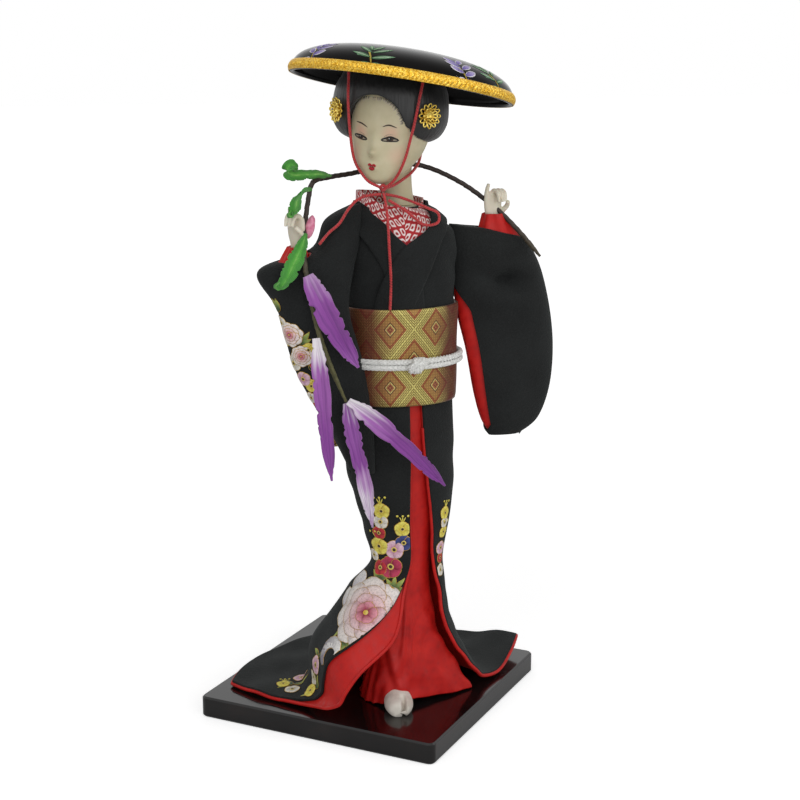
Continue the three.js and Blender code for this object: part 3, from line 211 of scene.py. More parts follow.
def feed(node, inputs):
    """Sets inputs by name or in order: a socket or a node's first output is linked, a colour or value set."""
    for key, value in inputs.items() if isinstance(inputs, dict) else enumerate(inputs):
        if isinstance(value, bpy.types.Node):
            value = value.outputs[0]
        if isinstance(value, bpy.types.NodeSocket):
            node.id_data.links.new(value, node.inputs[key])
        else:
            node.inputs[key].default_value = linear(value) if isinstance(value, str) else value


def add(tree, kind, inputs=None, stops=None, **settings):
    """Adds a node, of the shader kinds unless it says otherwise; stops are a ramp's places and colours."""
    made = tree.nodes.new(kind if "Node" in kind else "ShaderNode" + kind)
    for name, value in settings.items():
        setattr(made, name, value)
    feed(made, inputs or {})
    if stops:
        ramp = made.color_ramp.elements
        ramp.remove(ramp[1])
        ramp[0].position = stops[0][0]
        for place, _ in stops[1:]:
            ramp.new(place)
        for stop, (_, colour) in zip(ramp, stops):
            stop.color = linear(colour) if isinstance(colour, str) else colour
    return made


def surface(name, values):
    """A new material with values on its shader, its tree and shader, and its object coordinates."""
    material = bpy.data.materials.new(name)
    material.use_nodes = True
    tree = material.node_tree
    shader = tree.nodes["Principled BSDF"]
    feed(shader, values)
    return material, tree, shader, add(tree, "TexCoord").outputs["Object"]


def dress(material, *names):
    """Gives CAD pieces that keep their shape a better finish."""
    for name in names:
        for held in nodes[name].material_slots:
            held.material = material


# Polished lacquer over wood: deep black with a clear mirror, faint clouding and brownish rubbed edges.
BOARD_SIDE = 0.12
lacquer, tree, shader, spot = surface(
    "rubbed black lacquer", {"IOR": 1.42, "Coat Weight": 0.1, "Coat Roughness": 0.05})
cloud = add(tree, "TexNoise", {"Vector": spot, "Scale": 1 / 0.016, "Detail": 4.0})
square = add(tree, "Mapping", {"Vector": spot, "Rotation": (0, 0, math.radians(45))})
sides = add(tree, "SeparateXYZ", {"Vector": square}).outputs
far_x = add(tree, "Math", [sides["X"]], operation="ABSOLUTE")
far_y = add(tree, "Math", [sides["Y"]], operation="ABSOLUTE")
edge = add(tree, "Math", [far_x, far_y], operation="MAXIMUM")
rub = add(
    tree, "MapRange",
    {"Value": edge, "From Min": BOARD_SIDE / 2 - 0.0016, "From Max": BOARD_SIDE / 2, "To Max": 0.2})
worn = add(tree, "Math", [rub, cloud], operation="MULTIPLY")
tone = add(tree, "Math", [worn, cloud, cloud], operation="MULTIPLY_ADD")
black = add(tree, "ValToRGB", {"Fac": tone}, stops=[(0.3, "0c0b0b"), (0.7, "151313"), (1.0, "2a201c")])
gloss = add(
    tree, "MapRange", {"Value": tone, "From Min": 0.3, "From Max": 0.9, "To Min": 0.09, "To Max": 0.24})
feed(shader, {"Base Color": black, "Roughness": gloss})
dress(lacquer, "base_board")

# Screw and leg wire: zinc-plated steel, drawn and turned, greyish with fine rings of tool marks.
# Both are hidden in the finished doll, so they keep the plain shape of their solids.
steel, tree, shader, spot = surface("zinc plated steel", {"Metallic": 1.0})
marks = add(tree, "TexWave", {"Vector": spot, "Scale": 1 / 0.0008, "Distortion": 1.0}, bands_direction="Z")
grey = add(tree, "ValToRGB", {"Fac": marks.outputs["Fac"]}, stops=[(0.0, "8e8f90"), (1.0, "b4b5b4")])
satin = add(tree, "MapRange", {"Value": marks.outputs["Fac"], "To Min": 0.3, "To Max": 0.45})
feed(shader, {"Base Color": grey, "Roughness": satin})
dress(steel, "base_screw", "leg_wire")

# Post and neck peg: turned beech dowel, pale straw brown with long fine flecks up the grain.
# The post holds the body block up, and the head turns on the peg.
beech, tree, shader, spot = surface("beech dowel", {"Roughness": 0.6})
grain = add(tree, "Mapping", {"Vector": spot, "Scale": (1 / 0.0006, 1 / 0.0006, 1 / 0.012)})
fleck = add(tree, "TexNoise", {"Vector": grain, "Scale": 1.0, "Detail": 3.0})
straw = add(tree, "ValToRGB", {"Fac": fleck}, stops=[(0.35, "b08a5e"), (0.65, "d2b083")])
ridge = add(tree, "Bump", {"Height": fleck, "Strength": 0.15, "Distance": 0.0002})
feed(shader, {"Base Color": straw, "Normal": ridge})
dress(beech, "support_post", "neck_peg")


# Foot: a moulded foot in a white cotton sock with the big toe parted from the others.
# Its sole is flat on the board, and the leg wire stands in its ankle.
FIGURE = np.array([4.0, -29.0, 10.0])


def smooth(low, high, value):
    share = np.clip((np.asarray(value, float) - low) / (high - low), 0, 1)
    return share * share * (3 - 2 * share)


def bell(value, centre, width):
    return np.exp(-(((np.asarray(value, float) - centre) / width) ** 2))


def circuit(count):
    """Angles of a number of even steps round a full turn, as one row."""
    return np.linspace(0, 2 * np.pi, count + 1)[None, :-1]


def between(stations, place):
    """Smooth values between a list of stations, at places counted along the list."""
    table = np.asarray(stations, float)
    place = np.asarray(place, float)
    last = len(table) - 1
    below = np.clip(np.floor(place).astype(int), 0, last - 1)
    part = (place - below)[..., None]
    p, q, r, s = (table[np.clip(below + k, 0, last)] for k in (-1, 0, 1, 2))
    begin, end, rise = (r - p) / 2, (s - q) / 2, r - q
    return q + part * (begin + part * (3 * rise - 2 * begin - end + part * (begin + end - 2 * rise)))


def turned(points, degrees, axis="Z"):
    return np.asarray(points) @ np.array(Matrix.Rotation(math.radians(degrees), 3, axis)).T


def stand(name, data):
    """A new object in the scene."""
    made = bpy.data.objects.new(name, data)
    bpy.context.scene.collection.objects.link(made)
    return made


def build(name, points, faces, corners=None, paint=None):
    """A smooth-shaded object from points in figure millimetres, with a cut map and paint if given."""
    mesh = bpy.data.meshes.new(name)
    mesh.from_pydata(((np.asarray(points) + FIGURE) * 0.001).tolist(), [], faces)
    mesh.polygons.foreach_set("use_smooth", np.ones(len(faces), bool))
    if corners is not None:
        mesh.uv_layers.new(name="cut").data.foreach_set("uv", np.asarray(corners, np.float32).ravel())
    if paint is not None:
        held = mesh.color_attributes.new("paint", "FLOAT_COLOR", "POINT")
        held.data.foreach_set("color", np.asarray(paint, np.float32).ravel())
    return stand(name, mesh)


def loft(name, grid, wrap=True, capped=True, cut=None, paint=None):
    """A skin over rows of points. Rows that rise and run from the front to the doll's left face outwards."""
    grid = np.asarray(grid, float)
    rows, around = grid.shape[:2]
    cells = np.meshgrid(np.arange(rows - 1), np.arange(around - (not wrap)), indexing="ij")
    j, i = (v.ravel() for v in cells)
    k = (i + 1) % around
    faces = np.stack(
        [j * around + i, j * around + k, (j + 1) * around + k, (j + 1) * around + i], 1).tolist()
    points = grid.reshape(-1, 3)
    corners = None
    if cut is not None:
        corners = np.stack([cut[j, i], cut[j, i + 1], cut[j + 1, i + 1], cut[j + 1, i]], 1).reshape(-1, 2)
    if paint is not None:
        paint = np.asarray(paint).reshape(-1, 4)
    if capped:
        ring = np.arange(around)
        pairs = np.stack([ring, np.roll(ring, -1)], 1)
        low, top = len(points), len(points) + 1
        faces += [[low, b, a] for a, b in pairs.tolist()]
        faces += [[top, a, b] for a, b in (pairs + (rows - 1) * around).tolist()]
        points = np.vstack([points, grid[0].mean(0), grid[-1].mean(0)])
        if paint is not None:
            paint = np.vstack([paint, paint[:around].mean(0), paint[-around:].mean(0)])
        if cut is not None:
            ends = [(cut[0].mean(0), cut[0, i + 1], cut[0, i]) for i in ring]
            ends += [(cut[-1].mean(0), cut[-1, i], cut[-1, i + 1]) for i in ring]
            corners = np.vstack([corners, np.array(ends).reshape(-1, 2)])
    made = build(name, points, faces, corners, paint)
    if capped:
        shape = bmesh.new()
        shape.from_mesh(made.data)
        if shape.calc_volume(signed=True) < 0:
            made.data.flip_normals()
        shape.free()
    return made


def fit(piece, material, body, slot, *stands_for):
    """Finishes a piece: its material, the body it moves with, its record slot and the solids it replaces."""
    piece.data.materials.clear()
    piece.data.materials.append(material)
    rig.ride(piece, body)
    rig.slot(piece, slot)
    if stands_for:
        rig.replaces(piece, *stands_for)
    return piece


FOOT_LONG, FOOT_WIDE, FOOT_HIGH = 27.0, 13.0, 15.0
ANKLE_BACK = 0.76
FOOT_TURN = -14
LEG = np.array([-3.0, -3.5, 0.0])
FOOT = [
    (0, 0.24, 0.3), (0.05, 0.38, 0.42), (0.18, 0.49, 0.5), (0.34, 0.5, 0.58), (0.55, 0.42, 0.72),
    (0.74, 0.4, 1), (0.92, 0.36, 0.95), (1, 0.2, 0.6)]
PARTING = FOOT_WIDE * 0.14
along, wide, high = np.moveaxis(between(FOOT, np.linspace(0, 7, 72))[:, None, :], 2, 0)
angle = circuit(72)
foot = np.stack(
    [FOOT_WIDE * wide * np.cos(angle), FOOT_LONG * (along - ANKLE_BACK) + 0 * angle,
     FOOT_HIGH * high * np.maximum(0, 0.42 + 0.58 * np.sin(angle))], -1)
toes = 1 - smooth(0.1, 0.3, along)
groove = bell(foot[..., 0], PARTING, 0.75) * toes
foot[..., 2] *= 1 - 0.75 * groove
foot[..., 1] += 3.4 * groove * (1 - smooth(0.0, 0.16, along))
tabi = loft("tabi_foot", turned(foot, FOOT_TURN) + LEG)

# Plain bleached cotton: white with a fine weave that shows as a soft tooth, greyer in the hollows.
cotton, tree, shader, spot = surface("bleached cotton", {"Roughness": 0.85, "Sheen Weight": 0.3})
soil = add(tree, "TexNoise", {"Vector": spot, "Scale": 1 / 0.006, "Detail": 5.0})
white = add(tree, "ValToRGB", {"Fac": soil}, stops=[(0.3, "c9bfb2"), (0.6, "e2dbd0")])
threads = add(tree, "TexVoronoi", {"Vector": spot, "Scale": 1 / 0.0007})
tooth = add(tree, "Bump", {"Height": threads, "Strength": 0.35, "Distance": 0.0003})
feed(shader, {"Base Color": white, "Normal": tooth})
fit(tabi, cotton, "figure", "white_cloth", "front_foot")


# Body block: a firm stuffed torso under the robes that carries the post, the arms and the neck peg.
# Its calico cover is sewn tight, so it only shows soft dents.
BODY = [
    (147.5, 22.8, 15.9), (164.5, 22.8, 15.9), (186, 23.1, 16.4), (203, 24, 17.6), (210.5, 24.2, 16.8),
    (218, 22.6, 15), (223, 16.1, 12.4), (226.5, 11.2, 10), (229, 7, 7)]
NECK_STAND = 7.4


def body_at(height):
    """Half-width and half-depth of the dressed figure's core, and of the collar stand above it."""
    table = np.array(BODY)
    place = np.interp(height, table[:, 0], np.arange(len(table)))
    found = between(table, place)
    above = smooth(228.6, 229.4, height)[..., None]
    return found[..., 1:] * (1 - above) + NECK_STAND * above


def ripple(points, size, seed):
    """A gentle uneven relief from -1 to 1, with swells about size across; the same for the same seed."""
    chance = np.random.default_rng(seed)
    total = np.zeros(np.asarray(points).shape[:-1])
    for _ in range(7):
        heading = chance.normal(size=3)
        heading *= 2 * np.pi / (size * chance.uniform(0.7, 1.8) * np.linalg.norm(heading))
        total = total + np.sin(points @ heading + chance.uniform(0, 2 * np.pi))
    return total / 4.2


def oval(sizes, angle, height, out=0.0):
    """Points round an upright oval; angle zero faces the front and grows towards the doll's left."""
    reach = np.asarray(sizes) + np.asarray(out)[..., None]
    sides = np.broadcast_arrays(reach[..., 0] * np.sin(angle), -reach[..., 1] * np.cos(angle), height)
    return np.stack(sides, -1)


def mottled(name, values, size, detail, stops):
    """A material whose colour wanders through ramp stops in patches of one size, and its noise."""
    material, tree, shader, spot = surface(name, values)
    noise = add(tree, "TexNoise", {"Vector": spot, "Scale": 1 / size, "Detail": detail})
    feed(shader, {"Base Color": add(tree, "ValToRGB", {"Fac": noise}, stops=stops)})
    return material, tree, shader, noise


height = np.linspace(BODY[0][0], BODY[-1][0], 60)[:, None]
angle = circuit(64)
stuffed = oval(body_at(height), angle, height, -0.2)
stuffed[..., :2] *= (1 - 0.006 * (1 + ripple(stuffed, 12, 3)))[..., None]
torso = loft("stuffed_torso", stuffed)
cream = [(0.3, "cfc3a8"), (0.7, "e6dcc6")]
calico, tree, shader, slub = mottled("unbleached calico", {"Roughness": 0.9}, 0.002, 4.0, cream)
feed(shader, {"Normal": add(tree, "Bump", {"Height": slub, "Strength": 0.3, "Distance": 0.0004})})
fit(torso, calico, "figure", "stuffing", "torso_core")
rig.padded(torso, fill=0.95)


# Arms: bent wires bound round with cotton tape to the thickness of an arm, from the shoulder to the wrist.
# The tape's turns overlap, so each arm has low slanting ridges.
def run_of(points, count):
    """Evenly spaced points on the smooth curve through a route."""
    fine = between(points, np.linspace(0, len(points) - 1, 40 * len(points)))
    gone = np.r_[0, np.cumsum(np.linalg.norm(np.diff(fine, axis=0), axis=1))]
    wanted = np.linspace(0, gone[-1], count)
    return np.stack([np.interp(wanted, gone, fine[:, k]) for k in range(3)], 1)


def ahead_on(path):
    """Unit directions along a path."""
    ahead = np.gradient(path, axis=0)
    return ahead / np.linalg.norm(ahead, axis=1)[:, None]


def along_path(path, radius, sides=10):
    """Rings of points round a path; radius is one number or one for each ring and side."""
    path = np.asarray(path, float)
    ahead = ahead_on(path)
    side = np.array([0.3, 0.5, 0.8])
    rings = []
    radius = np.broadcast_to(radius, (len(path), sides))
    angle = circuit(sides).T
    for point, forward, reach in zip(path, ahead, radius):
        side = side - forward * (side @ forward)
        side /= np.linalg.norm(side)
        third = np.cross(forward, side)
        rings.append(point + reach[:, None] * (np.cos(angle) * side + np.sin(angle) * third))
    return np.array(rings)


ARM_R = 2.2
TAPE_PITCH = 3.0
ARMS = {
    "right_arm": [
        (-13, 0, 215), (-25, -3, 214), (-38, -6, 204), (-46, -8, 196), (-49.5, -8.5, 199), (-49, -8, 211)],
    "left_arm": [(13, 0, 212), (25, -1, 209), (35, -2, 204), (41, -3, 205), (43, -3, 210), (42.5, -3, 219)]}
for name, route in ARMS.items():
    path = run_of(route, 130)
    gone = np.linspace(0, np.linalg.norm(np.diff(path, axis=0), axis=1).sum(), 130)[:, None]
    turn = (gone / TAPE_PITCH + np.linspace(0, 1, 17)[None, :-1]) % 1
    arm = loft(name, along_path(path, ARM_R - 0.25 + 0.25 * turn, 16))
    fit(arm, calico, "figure", "stuffing", f"{name}_wire")


# Under-robe: a narrow bell of thin red silk round the legs, sewn at the waist and lifted in front over
# the foot. Below the knee it is crushed into upright wrinkles that spread on the board.
def settle(piece):
    """Turns a piece's modifiers into plain mesh."""
    graph = bpy.context.evaluated_depsgraph_get()
    plain = bpy.data.meshes.new_from_object(
        piece.evaluated_get(graph), preserve_all_data_layers=True, depsgraph=graph)
    piece.modifiers.clear()
    piece.data = plain
    plain.name = piece.name
    return piece


def thicken(piece, thick):
    """Gives a cloth its thickness on the side away from its faces."""
    wall = piece.modifiers.new("thickness", "SOLIDIFY")
    wall.thickness = thick * 0.001
    wall.offset = -1
    return settle(piece)


ROBE = [
    (147, 21.4, 14.5, 0, 0), (115, 21.9, 15.7, 0, 0), (91.5, 17, 13.5, 1.15, 0), (68, 12, 11.2, 2.3, 0),
    (44, 11.5, 11.5, 0.6, 0), (20, 11.5, 14, -2.2, 0.5), (0.3, 14.5, 18, -3.2, 3.5)]
ROBE_WALL = 0.8
FRONT_LIFT = 3.5
place = np.linspace(6, 0, 130)[:, None]
angle = circuit(192)
height, half, deep, shift, back = np.moveaxis(between(ROBE, place), -1, 0)
low = 1 - smooth(20, 68, height)
slant = height / 7 + 2.2 * np.sin(height / 11 + 3 * angle)
crush = 0.5 * low * np.sin(5 * angle + slant) + 0.4 * low * np.sin(12 * angle - 1.7 * slant)
robe = oval(np.stack([half, deep], -1), angle, height, crush - 0.2)
robe += np.stack([shift + 0 * angle, back + 0 * angle, 0 * angle + 0 * height], -1)
lift = FRONT_LIFT * (1 - smooth(0, 20, height)) * bell(robe[..., 0], LEG[0], 10.4)
robe[..., 2] += lift * smooth(0, 1, np.cos(angle))
spread = between(
    [(26, 0), (22, 7), (17, 16), (10, 27), (5, 39), (1.5, 52), (0, 68), (0, 147)],
    np.interp(height, (0, 7, 16, 27, 39, 52, 68, 147), range(8)))[..., 0]
robe[..., 0] += spread * bell(np.degrees(angle), 70, 34)
robe[..., :2] *= (1 + 0.03 * low * ripple(robe, 9, 11))[..., None]
under_robe = thicken(loft("under_robe_silk", robe, capped=False), ROBE_WALL)

# Figured red silk: bright scarlet with soft lustre, and woven sprigs that only show as a change of shine.
SPRIG_PITCH = 0.0026
red_silk, tree, shader, spot = surface(
    "figured red silk",
    {"Specular IOR Level": 0.3, "Sheen Weight": 0.1, "Sheen Roughness": 0.4, "Sheen Tint": "ff7a66"})
sprig = add(tree, "TexVoronoi", {"Vector": spot, "Scale": 1 / SPRIG_PITCH}, feature="SMOOTH_F1")
uneven = add(tree, "TexNoise", {"Vector": spot, "Scale": 1 / 0.011, "Detail": 3.0})
mixed = add(tree, "Math", [sprig, 0.5, uneven], operation="MULTIPLY_ADD")
scarlet = add(
    tree, "ValToRGB", {"Fac": mixed}, stops=[(0.35, "a9120f"), (0.62, "bb1613"), (0.95, "c82019")])
lustre = add(tree, "MapRange", {"Value": sprig, "From Max": 0.7, "To Min": 0.38, "To Max": 0.62})
figure_bump = add(tree, "Bump", {"Height": sprig, "Strength": 0.3, "Distance": 0.0004})
feed(shader, {"Base Color": scarlet, "Roughness": lustre, "Normal": figure_bump})
fit(under_robe, red_silk, "figure", "red_silk", "under_robe")
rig.sheet(under_robe, flat=(0.09, 0.155), held="hung", rests_on=["torso_core", "base_board"])


# Skirt lining and skirt: two layers that share one cut, red silk inside black crepe, open down the front.
# They hang from under the sash, close in at the knee, swing out to the floor and end in a train on the board.
SKIRT = [
    (164.2, 22.1, 15.2, 0, -3, 12), (143, 22.1, 15.2, 0, -3, 12), (115, 22.8, 16.6, 0, -3, 16),
    (91.5, 19.4, 14.5, 2.5, -9, 22), (68, 14.5, 12.4, 3.6, -13, 33), (52, 17.8, 17.02, 2.3, -33, 48),
    (39, 22.54, 22.54, 0.92, -51, 57), (27, 28.52, 28.52, 0, -69, 65), (16, 34.96, 34.96, 0, -77, 75),
    (7, 40.94, 40.94, 0, -82, 84), (2, 46, 46, 0, -91, 92), (0.5, 63, 63, 0, -105, 104),
    (0.5, 80, 80, 0, -116, 114)]
HEM = len(SKIRT) - 1
RIGHT_FLARE, LEFT_FLARE = 0.88, 0.38
FOLDS, FOLD_DEEP = 5, 0.045
CORNER_LIFT = 6


def skirt_under(place, u):
    """Underside of the skirt: place runs down the stations, u from the right front edge round the back."""
    height, half, deep, shift, left, right = np.moveaxis(between(SKIRT, place), -1, 0)
    angle = np.radians(left + (right - 360 - left) * u)
    flare = smooth(4, 6, place) * (1 - smooth(9, 10.5, place))
    early = smooth(4, 5, place) * (1 - smooth(6.6, 9, place))
    reach = 1 - (1 - RIGHT_FLARE) * flare * smooth(0, 1, np.sin(angle))
    reach = reach * (1 + LEFT_FLARE * early * smooth(0.3, 1, -np.sin(angle)))
    reach = reach * (1 + FOLD_DEEP * flare * np.sin(FOLDS * angle))
    rise = CORNER_LIFT * smooth(10.3, 12, place) * smooth(0.8, 1, u)
    return np.stack(
        [shift + half * reach * np.sin(angle), -deep * reach * np.cos(angle), height + rise], -1)


def skirt_at(place, u, out):
    """A point of the skirt at a distance out from the underside, with the crepe's slack."""
    place, u = np.broadcast_arrays(np.asarray(place, float), np.asarray(u, float))
    step = 0.01
    down = skirt_under(np.minimum(place + step, HEM), u) - skirt_under(np.maximum(place - step, 0), u)
    across = skirt_under(place, u + step) - skirt_under(place, u - step)
    facing = np.cross(across, down)
    facing /= np.linalg.norm(facing, axis=-1)[..., None]
    base = skirt_under(place, u)
    slack = 0.45 * ripple(base, 17, 21) * smooth(1, 2, place) * (1 - smooth(9.5, 10.5, place))
    lumps = 0.5 * (1 + ripple(base, 15, 22)) * smooth(10, 11, place)
    return base + facing * (np.asarray(out) + slack + lumps)[..., None]


LINING_THICK, CREPE_THICK = 0.7, 1.2
SKIRT_OUT = 2.2
column = np.linspace(1, 0, 190)[None, :]
row = np.linspace(HEM, 1, 170)[:, None]


def turn_back(place):
    """How far the lining's padded edge stands out past the right front edge of the crepe, as a share of u."""
    return 0.11 * smooth(4, 6.5, place) * (1 - smooth(8.6, 10.6, place))


out = column + (column - 1) * turn_back(row)
skirt_lining = thicken(
    loft("skirt_lining_silk", skirt_at(row, out, LINING_THICK), False, False), LINING_THICK)
fit(skirt_lining, red_silk, "figure", "red_silk", "skirt_lining")
row = np.linspace(HEM, 0, 180)[:, None]
skirt = thicken(loft("skirt_crepe", skirt_at(row, column, SKIRT_OUT), False, False), CREPE_THICK)

# Silk crepe: dull warm black, pebbled by tight twisted threads, with no shine and a faint grey bloom.
# The real pebble is about 0.4 mm; it is drawn at 0.7 mm so that it shows.
crepe, tree, shader, spot = surface(
    "black silk crepe", {"Roughness": 0.88, "Specular IOR Level": 0.25, "Sheen Weight": 0.08,
        "Sheen Roughness": 0.55, "Sheen Tint": "a8b0ae"})
pebble = add(tree, "TexVoronoi", {"Vector": spot, "Scale": 1 / 0.0007})
fade = add(tree, "TexNoise", {"Vector": spot, "Scale": 1 / 0.02, "Detail": 4.0})
shade = add(tree, "Math", [pebble, 0.35, fade], operation="MULTIPLY_ADD")
ink = add(tree, "ValToRGB", {"Fac": shade}, stops=[(0.35, "0e0f0f"), (0.85, "1c1e1e")])
grain = add(tree, "Bump", {"Height": pebble, "Strength": 0.55, "Distance": 0.0004})
feed(shader, {"Base Color": ink, "Normal": grain})
fit(skirt, crepe, "figure", "black_crepe", "kimono_skirt")
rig.sheet(skirt_lining, flat=(0.27, 0.24), area=0.027, held="hung", rests_on=["obi_band", "base_board"])
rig.sheet(skirt, flat=(0.27, 0.26), area=0.029, held="hung", rests_on=["obi_band", "base_board"])

# Hem roll: the lining is turned out over a thin cord of wadding along the front edges and the hem,
# so a narrow red roll borders the black.
HEM_ROLL_R = 0.85
steps = np.linspace(1.4, HEM, 110)
edge = [
    skirt_at(steps, -turn_back(steps), 0.6), skirt_at(HEM, np.linspace(0, 1, 140)[1:-1], 1.0),
    skirt_at(steps[::-1], 1, 1.0)]
edge = np.concatenate(edge)
middle = between(edge, np.linspace(0, len(edge) - 1, 420))
hem_roll = loft("hem_roll", along_path(middle, HEM_ROLL_R, 10))
fit(hem_roll, red_silk, "figure", "red_silk")


# Skirt print: peonies, plum blossoms and leaves stencilled on the crepe, closest along the right front edge
# and thinner over the train. Each is a thin film of bright pigment on the threads, over a gold outline.
GOLD_LINE = (*linear("c9a24a")[:3], 0.0)
FILM = 0.05
PRINT_UP = np.array([0.074, 0.215, 0.974])


def patch(spread, seed, anchor, right, up):
    """Maps flat print millimetres onto a surface round an anchor, through its own two coordinates."""
    def at(x, y, lift):
        p, q = np.full(x.shape, float(seed[0])), np.full(x.shape, float(seed[1]))
        for _ in range(9):
            here = spread(p, q, 0.0)
            by_p = (spread(p + 0.002, q, 0.0) - here) / 0.002
            by_q = (spread(p, q + 0.002, 0.0) - here) / 0.002
            off_x, off_y = x - (here - anchor) @ right, y - (here - anchor) @ up
            a, b, c, d = by_p @ right, by_q @ right, by_p @ up, by_q @ up
            scale = a * d - b * c
            scale = np.where(np.abs(scale) < 1, np.copysign(1.0, scale), scale)
            p = p + np.clip((d * off_x - b * off_y) / scale, -0.3, 0.3)
            q = q + np.clip((a * off_y - c * off_x) / scale, -0.3, 0.3)
        return spread(p, q, lift)
    return at


def cloth_patch(spread, p, q, anchor):
    """A patch on the cloth at the point nearest an anchor, lying flat on it with its top upwards."""
    chart = spread(p[:, None], q[None, :], 0.0)
    row, column = np.unravel_index(np.argmin(((chart - anchor) ** 2).sum(-1)), chart.shape[:2])
    seed = (p[row], q[column])
    here = chart[row, column]
    facing = np.cross(
        spread(seed[0] + 0.01, seed[1], 0.0) - here, spread(seed[0], seed[1] + 0.01, 0.0) - here)
    facing *= np.sign(facing @ (-0.31, -0.92, 0.3)) / np.linalg.norm(facing)
    up = PRINT_UP - facing * (PRINT_UP @ facing)
    up /= np.linalg.norm(up)
    return patch(spread, seed, here, np.cross(up, facing), up)


def stroke(marks, at, x, y, heading, long, wide, colours, lift, sharp=0.5, skew=1.0, bend=0.0, line=0.0):
    """Paints a petal, leaf or line from a root along a heading, over a gold outline if one is wanted."""
    t = np.linspace(0, 1, 10)[:, None]
    c = np.linspace(-1, 1, 5)[None, :]
    turn = np.radians(heading + bend * t)
    shape = np.sin(np.pi * np.clip(t, 0.004, 0.996) ** skew) ** sharp
    for grow, up in ((line, lift - 0.03), (0.0, lift)) if line else ((0.0, lift),):
        step = (long + 1.6 * grow) / 9
        along_x, along_y = (np.r_[0, np.cumsum(f(turn[1:, 0]) * step)][:, None] for f in (np.cos, np.sin))
        half = (wide / 2 + grow) * shape * c
        flat_x = x - 0.8 * grow * np.cos(turn[0, 0]) + along_x - np.sin(turn) * half
        flat_y = y - 0.8 * grow * np.sin(turn[0, 0]) + along_y + np.cos(turn) * half
        root, end = (GOLD_LINE, GOLD_LINE) if grow else [linear(code) for code in colours]
        root, end = np.array(root), np.array(end)
        marks.append((at(flat_x, flat_y, up), root + smooth(0.1, 0.9, t + 0 * c)[..., None] * (end - root)))


def blossom(marks, at, size, petals, colours, lift, x=0.0, y=0.0, eye="3a2a1c", line=0.28, turn=90):
    """A round flower of overlapping petals with a dark eye in a pale ring."""
    for k in range(petals):
        stroke(
            marks, at, x, y, turn + 360 * k / petals, size, size * 5.4 / petals, colours, lift + 0.01 * k,
            0.5, 1.5, line=line)
    for reach, code, up in ((0.3, "e8cf6a", 0.08), (0.17, eye, 0.12)):
        stroke(
            marks, at, x - reach * size, y, 0, 2 * reach * size, 2 * reach * size, (code, code), lift + up)


def leafy(marks, at, x, y, headings, long, wide, colours, lift):
    """A tuft of pointed leaves from one root."""
    for k, heading in enumerate(headings):
        stroke(
            marks, at, x, y, heading, long * (1 - 0.12 * (k % 3)), wide, colours, lift + 0.01 * k, 0.9, 0.8,
            14, line=0.22)


PEONY_RINGS = [
    (8, 1, 0.78, "d58f9c", "f4ece6"), (7, 0.76, 0.66, "c9657c", "f6e4e0"), (6, 0.52, 0.5, "b83a5c", "f2cfd2"),
    (5, 0.3, 0.3, "96203f", "e79aa8")]


def peony(marks, at, size, lift):
    """A full flower in four rings of petals, rose at the heart and white at the rim."""
    for ring, (count, reach, wide, root, end) in enumerate(PEONY_RINGS):
        for k in range(count):
            stroke(
                marks, at, 0, 0, 25 * ring + 360 * k / count, size * reach, size * wide, (root, end),
                lift + 0.12 * ring + 0.011 * k, 0.45, 1.6, line=0.22)
    stroke(marks, at, -0.07 * size, 0, 0, 0.14 * size, 0.14 * size, ("e3b73c", "f0d878"), lift + 0.52)


def printed(name, marks):
    """All strokes of a print as one thin film."""
    count = marks[0][0].shape[:2]
    cells = np.arange(count[0] * count[1]).reshape(count)
    faces = np.stack(
        [cells[:-1, :-1], cells[:-1, 1:], cells[1:, 1:], cells[1:, :-1]], -1).reshape(-1, 4)[:, ::-1]
    every = np.concatenate([faces + k * cells.size for k in range(len(marks))]).tolist()
    points = np.concatenate([grid.reshape(-1, 3) for grid, _ in marks])
    paint = np.concatenate([tint.reshape(-1, 4) for _, tint in marks])
    a, b, c, d = (points[np.array(every)[:, k]] for k in range(4))
    spans = np.linalg.norm(c - a, axis=1) * np.linalg.norm(d - b, axis=1)
    whole = np.linalg.norm(np.cross(c - a, d - b), axis=1) > 0.1 * spans + 0.002
    used, every = np.unique(np.array(every)[whole], return_inverse=True)
    return thicken(build(name, points[used], every.reshape(-1, 4).tolist(), paint=paint[used]), FILM)


def on_skirt(place, u, lift):
    """A point of the crepe's face; what a stroke has past the front edges is drawn in to them or left out."""
    place, u = np.broadcast_arrays(np.clip(place, 0.02, HEM - 0.02), u)
    spot = skirt_at(place, np.clip(u, 0.004, 0.996) if lift else u, SKIRT_OUT + lift)
    if lift:
        spot[np.abs(u - 0.5) > 0.515] = np.nan
    return spot


